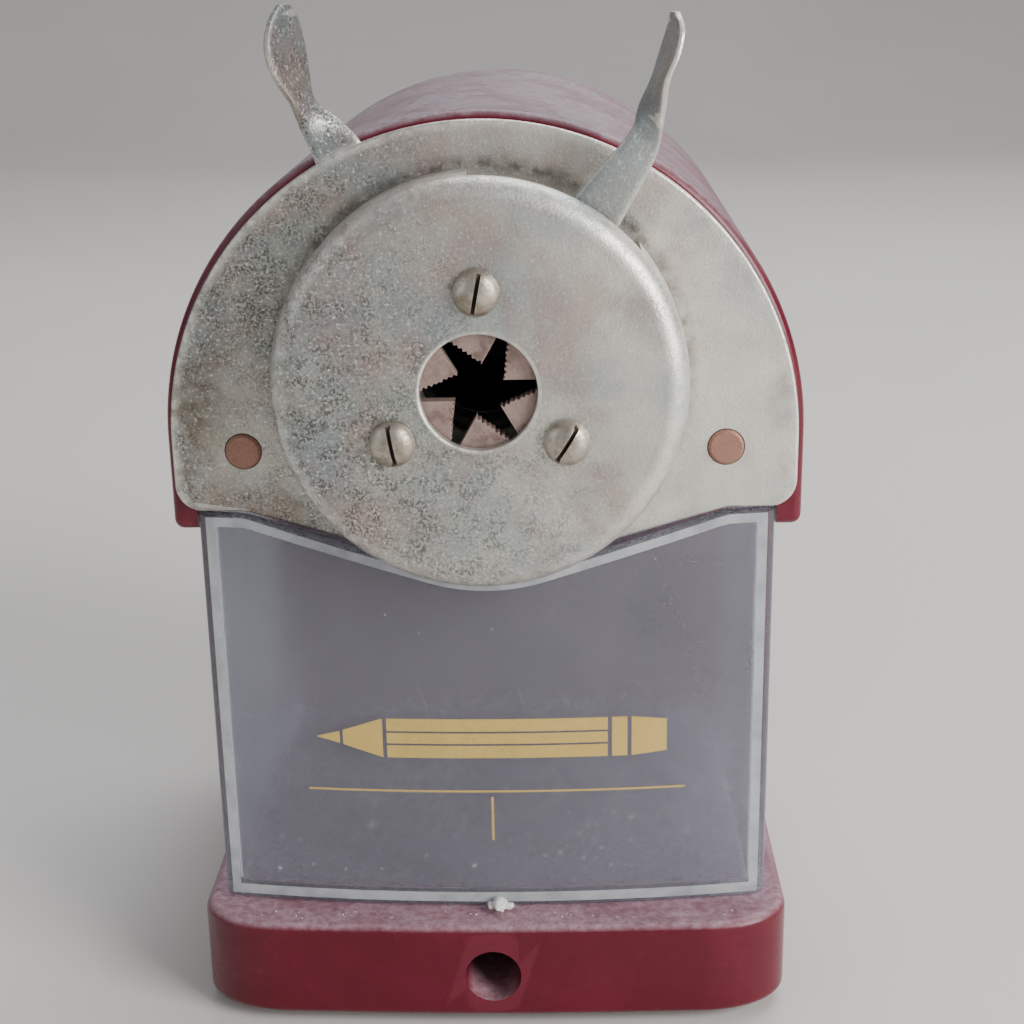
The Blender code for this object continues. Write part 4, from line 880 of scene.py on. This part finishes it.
rim = [(hole_r, cup_front + 0.3 * MM), (hole_r + 0.09 * MM, cup_front + 0.09 * MM), (hole_r + 0.3 * MM, cup_front)]
outer = quarter(shoulder, 0, range(0, 91, 9)) + [(cover_r, cup_back)]
inside = [(cover_r - sheet, cup_back)] + quarter(shoulder - sheet, sheet, range(90, -1, -15))
cup = turned("cup", rim + outer + inside + [(hole_r, cup_front + sheet)], steps=160)
window = arc((0, axis_z), cover_r + 3 * MM, 40, 93, 24) + arc((0, axis_z), cover_r - 3 * MM, 93, 40, 24)
cut(cup, pushed("window", window, jaw_front_y + 1.4 * MM, front_y + MM),
    *[drill(1.6 * MM, cup_front - 3 * MM, cup_front + 3 * MM, *on_axis(post_at, a), 24) for a in screw_angles])
hand_over(cup, "chuck_cup", "carriage", ["chuck_cover"], plated_cup, 30, cup_front)

# %% [markdown]
# Three slotted pan-head screws hold the cup, and each one's shank is the pivot of a jaw. Screws are never left
# at one angle, so each slot has its own.

# %% Cover screws
# The head's profile: radius, and height over its seat, in millimetres.
HEAD = ((0, 1.60), (0.7, 1.56), (1.3, 1.42), (1.9, 1.15), (2.35, 0.75), (2.58, 0.4), (2.6, 0.1), (2.55, 0))
shank_r = 1.3 * MM
slot_half = 0.22 * MM
seat_y, shank_end_y = cup_front - gap, front_y + plate_t
for number, (angle, slot_turn) in enumerate(zip(screw_angles, (79, 100, 58)), 1):
    x, z = on_axis(post_at, angle)
    head = [(r * MM, seat_y - rise * MM) for r, rise in HEAD]
    screw = turned("screw", head + [(shank_r, seat_y), (shank_r, shank_end_y), (0, shank_end_y)], x, z, 48)
    blade = block((-4 * MM, seat_y - 3 * MM, -slot_half), (4 * MM, seat_y - 0.85 * MM, slot_half))
    blade.matrix_world = Matrix.Translation((x, 0, z)) @ Matrix.Rotation(math.radians(-slot_turn), 4, "Y")
    cut(screw, blade)
    hand_over(screw, f"cover_screw_{number}_skin", "carriage", [f"cover_screw_{number}"], nickel,
              30)
    screw.data.materials.append(grime)
    upright = Matrix.Rotation(math.radians(slot_turn), 3, "Y")
    for polygon in screw.data.polygons:
        across_slot = (upright @ (polygon.center - Vector((x, 0, z)))).z
        if abs(across_slot) < slot_half + 0.01 * MM and polygon.center.y < seat_y - 0.8 * MM:
            polygon.material_index = 1

# %% [markdown]
# ## Jaws
# Six flat jaws close round the pencil like an iris. One edge is smooth and the next is cut with coarse teeth
# that bite the wood. The teeth differ a little, as worn ones do, so each jaw takes its own seeded numbers.
# A pin at the back of each jaw runs in a cam slot of the lever ring.

# %% Jaws
def polar(radius, degrees):
    return Vector((radius * math.cos(math.radians(degrees)), radius * math.sin(math.radians(degrees))))


tip_r, first_post, bite_angle = 2.9 * MM, 30, 84
teeth, tooth = 8, 0.62 * MM
jaw_t, jaw_hole_r = 1.8 * MM, 1.6 * MM


def jaw_outline(seed):
    chance = random.Random(seed)
    tip = polar(tip_r, 24)
    bite = polar(1, bite_angle)
    inward = Vector((bite.y, -bite.x))
    points = [tip]
    for i in range(teeth):
        points.append(tip + bite * tooth * (i + 0.5) + inward * chance.uniform(0.20, 0.42) * MM)
        points.append(tip + bite * tooth * (i + 1) + inward * chance.uniform(0.0, 0.10) * MM)
    points.append(tip + bite * tooth * teeth + Vector((1.2 * MM, 1.0 * MM)))
    points += [Vector(p) for p in arc(polar(post_at, first_post), 2.6 * MM, 115, -65, 16)]
    points.append(Vector((9.8 * MM, tip.y)))
    return points


for number, post in enumerate(post_angles, 1):
    turn = Matrix.Rotation(math.radians(post - first_post), 2)
    spots = [turn @ p for p in jaw_outline(number)]
    jaw = pushed("jaw", [(p.x, axis_z + p.y) for p in spots], jaw_front_y, jaw_front_y + jaw_t)
    rounded(jaw, 0.08 * MM, 2, 60)
    cut(jaw, drill(jaw_hole_r, jaw_front_y - MM, jaw_front_y + 3 * MM, *on_axis(post_at, post), 24))
    x, z = on_axis(post_at, post)
    pin = polar(3.9 * MM, post + 198)
    joined(jaw, drill(0.75 * MM, jaw_front_y + MM, jaw_front_y + 3.7 * MM, x + pin.x, z + pin.y, 16))
    hand_over(jaw, f"jaw_{number}_skin", f"jaw_{number}", [f"chuck_jaw_{number}"], coppered, 30)

# %% [markdown]
# ## Lever ring
# Behind the jaws turns a ring with six cam slots. Its arm leaves the cup through the window and ends in the
# right-hand lever. Only the arm is seen, so the ring keeps the plain slots that the mechanism needs.

# %% Lever ring with the right lever
ring_y0 = jaw_front_y + 2.1 * MM
ring_y1 = ring_y0 + 1.2 * MM
ring_inner_r, ring_outer_r = 6.9 * MM, 21.9 * MM
ring = turned("ring", [(ring_inner_r, ring_y0), (ring_outer_r, ring_y0), (ring_outer_r, ring_y1),
                       (ring_inner_r, ring_y1)], steps=128)
y = 500 * (ring_y0 + ring_y1)
aim = math.radians(55.5)
across, face = (-math.sin(aim), 0, math.cos(aim)), (0, 1, 0)
leaf, leaf_face = (-0.14, 0.99, 0), (0.99, 0.14, 0)


def out_at(r):
    return r * math.cos(aim), y, 1000 * axis_z + r * math.sin(aim)


right_lever = ribbon("right_lever", [
    (out_at(19.0), across, 6.4, face, 1.06), (out_at(25.0), across, 5.4, face, 1.06),
    (out_at(31.8), across, 3.8, face, 1.06),
    ((19.0, y + 0.2, 112.8), (-0.45, 0.85, 0.1), 4.8, (0.85, 0.45, 0), 1.06),
    ((19.9, y + 0.5, 115.8), leaf, 7.4, leaf_face, 1.05), ((20.9, y + 0.8, 118.6), leaf, 8.6, leaf_face, 1.0),
    ((21.5, y + 0.8, 121.1), leaf, 6.8, leaf_face, 0.95), ((21.4, y + 0.8, 122.7), leaf, 2.4, leaf_face, 0.8)])
joined(ring, right_lever)


def belt(angle_from, angle_to, radius, half):
    """A curved slot with round ends, as an outline round the pencil axis."""
    start_end, stop_end = on_axis(radius, angle_from), on_axis(radius, angle_to)
    return (arc((0, axis_z), radius + half, angle_from, angle_to, 12)
            + arc(stop_end, half, angle_to + 20, angle_to + 160, 7)
            + arc((0, axis_z), radius - half, angle_to, angle_from, 12)
            + arc(start_end, half, angle_from + 200, angle_from + 340, 7))


def slots(start, stop, radius, half):
    return [pushed("slot", belt(a + start, a + stop, radius, half), ring_y0 - MM, ring_y1 + MM)
            for a in post_angles]


cut(ring, *slots(-29, 1, post_at, 1.6 * MM))
cut(ring, *slots(-22.5, -6.5, 7.5 * MM, 1.15 * MM))
hand_over(ring, "lever_ring_skin", "lever", ["lever_ring"], plated_lever, 30)

# %% [markdown]
# ## Crank side
# The back has a black bearing cap with two screws, a flat steel arm and a plastic knob that spins on its own
# pin. The cap and knob are turned profiles, and the arm is an outline with round ends and softened edges.

# %% Rear cap, arm and knob
wall_y = y_back
inner_y, bore_end_y = front_y + 48 * MM, front_y + 64 * MM
spigot_r, bush_r = 17.2 * MM, 4.2 * MM
# The part that is seen: radius, and distance out from the housing's wall, in millimetres.
CAP = ((21.5, 0.5), (21.5, 1.9), (21.2, 2.5), (20.5, 2.9), (19.8, 3), (9.4, 3), (8.6, 3.4), (7.7, 7.5), (7.2, 8))
cap = turned("cap", [(14.9 * MM, inner_y), (spigot_r, inner_y), (spigot_r, wall_y + gap), (21.3 * MM, wall_y + gap)]
             + [(r * MM, wall_y + out * MM) for r, out in CAP]
             + [(bush_r, wall_y + 8 * MM), (bush_r, bore_end_y), (14.9 * MM, bore_end_y)])
screw_x = (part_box("cap_screw_2")[0].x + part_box("cap_screw_2")[1].x) / 2
cut(cap, *[drill(1.4 * MM, wall_y - MM, wall_y + 5 * MM, s * screw_x, None, 24) for s in (-1, 1)])
hand_over(cap, "rear_cap_skin", "frame", ["rear_bearing_cap"], satin_black)

arm_low, arm_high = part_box("crank_arm")
knob_z = joints["knob_spin"]["pos_m"][2]
hub_end_r, knob_end_r = 6.5 * MM, 5 * MM
outline = arc((0, axis_z), hub_end_r, 0, 180, 40) + arc((0, knob_z), knob_end_r, 180, 360, 40)
arm = rounded(pushed("arm", outline, arm_low.y, arm_high.y), 0.4 * MM, 3, 50)
through = (arm_low.y - MM, arm_high.y + MM)
cut(arm, drill(2 * MM, *through), drill(2.3 * MM, *through, 0, knob_z))
hand_over(arm, "crank_arm_skin", "crank", ["crank_arm"], plated_lever, 30)

knob_low, knob_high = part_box("crank_knob")
# The grip: radius, and distance from its inner end, then from its outer end, in millimetres.
GRIP = ((2.3, 0), (4.4, 0), (5.0, 0.3), (5.2, 0.9), (5.4, 3), (5.8, 6), (6.2, 9.5), (6.5, 13), (6.6, 16.5),
        (6.55, 19), (6.2, 21.3), (5.7, 22.9))
GRIP_END = ((5.0, 0.4), (4.4, 0), (3.5, 0), (3.3, 0.2), (3.3, 4.3), (2.3, 4.3))
grip = ([(r * MM, knob_low.y + out * MM) for r, out in GRIP]
        + [(r * MM, knob_high.y - back * MM) for r, back in GRIP_END])
grip_piece = turned("knob", grip, 0, knob_z)
hand_over(grip_piece, "crank_knob_skin", "knob", ["crank_knob"], satin_black)

# %% [markdown]
# ## Carriage springs
# Two coil springs on the rods pull the carriage home. A coil is a wire along a helix, so it is a curve with a
# bevel, turned into a mesh. When the carriage is pulled out, the collars close the springs up; the mesh here
# keeps the length it is wound to.

# %% Carriage springs
coils, wire_r = 11, 0.42 * MM
points_per_coil = 28


def coil_spring(centre_x, centre_z, coil_r, y0, y1):
    curve = bpy.data.curves.new("coil", "CURVE")
    curve.dimensions, curve.use_fill_caps = "3D", True
    curve.bevel_depth, curve.bevel_resolution = wire_r, 2
    spline = curve.splines.new("POLY")
    steps = points_per_coil * coils
    spline.points.add(steps)
    for i, point in enumerate(spline.points):
        a = math.tau * i * coils / steps
        point.co = (centre_x + coil_r * math.cos(a), y0 + (y1 - y0) * i / steps, centre_z + coil_r * math.sin(a), 1)
    wound = put_in_scene("coil", curve)
    bpy.context.view_layer.update()
    mesh = bpy.data.meshes.new_from_object(wound.evaluated_get(bpy.context.evaluated_depsgraph_get()))
    bpy.data.objects.remove(wound)
    return put_in_scene("spring", mesh)


for number, side in ((1, -1), (2, 1)):
    low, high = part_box(f"carriage_spring_{number}")
    coil_r = (high.x - low.x) / 2 - wire_r
    spring = coil_spring(side * rod_x, rod_z, coil_r, low.y + wire_r, high.y - wire_r)
    hand_over(spring, f"coil_spring_{number}", "frame", [f"carriage_spring_{number}"], drawn, 60)
    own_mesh(spring)

# %% [markdown]
# ## The other pieces
# The return spring, gears, pins and the cutter keep their CAD shapes, because they are right and mostly hidden.
# Each still gets a finish, since a raised drawer or an open chuck shows them. The list names one finish per
# piece, and the loop checks that none is missed.

# %% Finishes for the carried-over pieces
finishes = {
    drawn: ["base_screw_1", "base_screw_2", "cap_screw_1", "cap_screw_2", "rod_collar_1", "rod_collar_2",
            "jaw_pin_1", "jaw_pin_2", "jaw_pin_3", "lever_return_spring", "crank_shaft", "cutter_axle", "knob_pin"],
    rod_copper: ["guide_rod_1", "guide_rod_2"],
    nickel: ["crank_nut"],
    cast: ["cutter_carrier", "ring_gear"],
    hard: ["helical_cutter", "cutter_pinion"],
    bearing: ["shaft_bush"],
    satin_black: ["pencil_guide"],
    rubber: ["base_pad"],
}
for paint, names in finishes.items():
    for name in names:
        node = frame["nodes"][name]
        node.data.materials.clear()
        node.data.materials.append(paint)
replaced = {n for o in bpy.data.objects for n in (o.get("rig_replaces") or [])}
left = set(frame["nodes"]) - {n for names in finishes.values() for n in names} - replaced
print("finished CAD pieces:", sum(len(n) for n in finishes.values()), "left over:", sorted(left))

# %% [markdown]
# ## Signs of use
# A chalky crumb has lodged on the drawer's foot, with a few specks on the ledge beside it and a little dust in
# the drawer. The crumb rides on the drawer, and the specks stay low enough for the drawer to pass over them.
# Crumbs are small lumps whose points are moved by noise; seeded numbers keep them the same each time.

# %% Crumbs
def crumbs(name, spots, body, paint, seed):
    chance = random.Random(seed)
    bm = bmesh.new()
    for x, y, z, size in spots:
        made = bmesh.ops.create_icosphere(bm, subdivisions=2, radius=size)
        stretch = Vector((chance.uniform(0.7, 1.4), chance.uniform(0.6, 1.1), chance.uniform(0.5, 0.9)))
        for v in made["verts"]:
            lump = 1 + 0.5 * noise.noise(v.co * 1.6 / size + Vector((seed, x * 900, y * 900)))
            v.co = Vector((x, y, z)) + Vector(v.co[k] * stretch[k] for k in range(3)) * lump
    return hand_over(as_object(name, bm), name, body, [], paint, 60)


chance = random.Random(11)
front, foot_z = drawer_low.y, drawer_low.z
spots = [(0.0009, front - 0.0008, foot_z + 0.0010, 0.00110), (0.0019, front - 0.0007, foot_z + 0.0006, 0.0007),
         (-0.0002, front - 0.0006, foot_z + 0.0006, 0.0007), (0.0011, front - 0.0014, foot_z + 0.0005, 0.0004)]
crumbs("lodged_crumb", spots, "drawer", chalk, 3)
spots = [(chance.uniform(-0.03, 0.03), front + chance.uniform(-0.0022, -0.0005), base_high.z + 0.00005,
          chance.uniform(0.00007, 0.00011)) for _ in range(26)]
crumbs("ledge_specks", spots, "frame", chalk, 4)
floor_z = foot_z + drawer_wall
spots = [(chance.uniform(-0.030, 0.030), chance.uniform(drawer_front_y + 0.004, drawer_high.y - 0.004),
          floor_z + 0.0001, chance.uniform(0.0001, 0.00026)) for _ in range(130)]
crumbs("drawer_crumbs", spots, "drawer", chalk, 5)

# %% [markdown]
# ## Floor, light and camera
# The floor is a plain pale sweep. A large soft window above and behind gives the pale sheen on the top. A
# stronger one in front on the right, with a weak fill on the left, shades the plate gently from side to side.

# %% Floor
paper, tree, shader, place = start("pale_paper_floor")
cloud = patchy(tree, place, 0.2, 1.0, 0.0)
colour = blend(tree, cloud, (0.66, 0.64, 0.61, 1), (0.69, 0.67, 0.64, 1))
wire_up(tree, shader, colour, ramp(tree, cloud, 0, 1, 0.75, 0.85))
near_y, bend_y, bend_r, top_z = -2.5, 0.9, 0.5, 2.5
bends = [math.radians(a) for a in range(6, 91, 6)]
bm = bmesh.new()
bend = [(bend_y + bend_r * math.sin(a), bend_r - bend_r * math.cos(a)) for a in bends]
profile = [(near_y, 0.0), (bend_y, 0.0)] + bend + [(bend_y + bend_r, top_z)]
lines = [[bm.verts.new((x, y, z)) for y, z in profile] for x in (-3.0, 3.0)]
for k in range(len(profile) - 1):
    bm.faces.new((lines[0][k], lines[1][k], lines[1][k + 1], lines[0][k + 1]))
floor = as_object("floor_sweep", bm)
floor.data.materials.append(paper)
floor.data.shade_smooth()


# %% Light
def area(name, place, aim, width, height, power, colour=(1, 1, 1)):
    data = bpy.data.lights.new(name, "AREA")
    data.shape, data.size, data.size_y, data.energy, data.color = "RECTANGLE", width, height, power, colour
    obj = put_in_scene(name, data)
    obj.location = place
    obj.rotation_euler = (Vector(aim) - Vector(place)).to_track_quat("-Z", "Y").to_euler()
    return obj


target = (0, 0, 0.07)
# Each light: name, place, aim, width and height in metres, power in watts and colour.
area("window_above", (0.20, 0.40, 0.75), target, 0.7, 0.6, 5.5, (0.97, 0.98, 1.0))
area("right_window", (0.62, -0.46, 0.36), target, 0.40, 0.55, 9.5, (1.0, 0.98, 0.96))
area("left_fill", (-0.7, -0.45, 0.35), target, 0.5, 0.7, 0.9, (0.93, 0.96, 1.0))
world = bpy.data.worlds.new("studio")
bpy.context.scene.world = world
world.use_nodes = True
world.node_tree.nodes["Background"].inputs["Color"].default_value = (0.80, 0.82, 0.85, 1)
world.node_tree.nodes["Background"].inputs["Strength"].default_value = 0.38

# %% [markdown]
# The camera looks down a little at the front, with a slight turn and tilt, as a hand-held camera would. Its axes
# are built from the three angles, so that each angle can be changed alone.

# %% Camera
pitch, yaw, roll = math.radians(18.12), math.radians(-1.75), math.radians(-1.05)
forward = Vector((math.sin(yaw) * math.cos(pitch), math.cos(yaw) * math.cos(pitch), -math.sin(pitch)))
level = Vector((math.cos(yaw), -math.sin(yaw), 0))
upward = level.cross(forward)
right = level * math.cos(roll) + upward * math.sin(roll)
upward = right.cross(forward)
lens = bpy.data.cameras.new("front_view")
lens.lens, lens.sensor_width = 60.8, 36.0
lens.clip_start, lens.clip_end = 0.01, 20
camera = put_in_scene("front_view", lens)
stand = (0.00909, front_y - 0.19387, arch_z + 0.05462)
turned_to = Matrix((right, upward, -forward)).transposed().to_4x4()
camera.matrix_world = Matrix.Translation(stand) @ turned_to
bpy.context.scene.camera = camera
print("camera at, mm:", [round(1000 * c, 1) for c in camera.location])
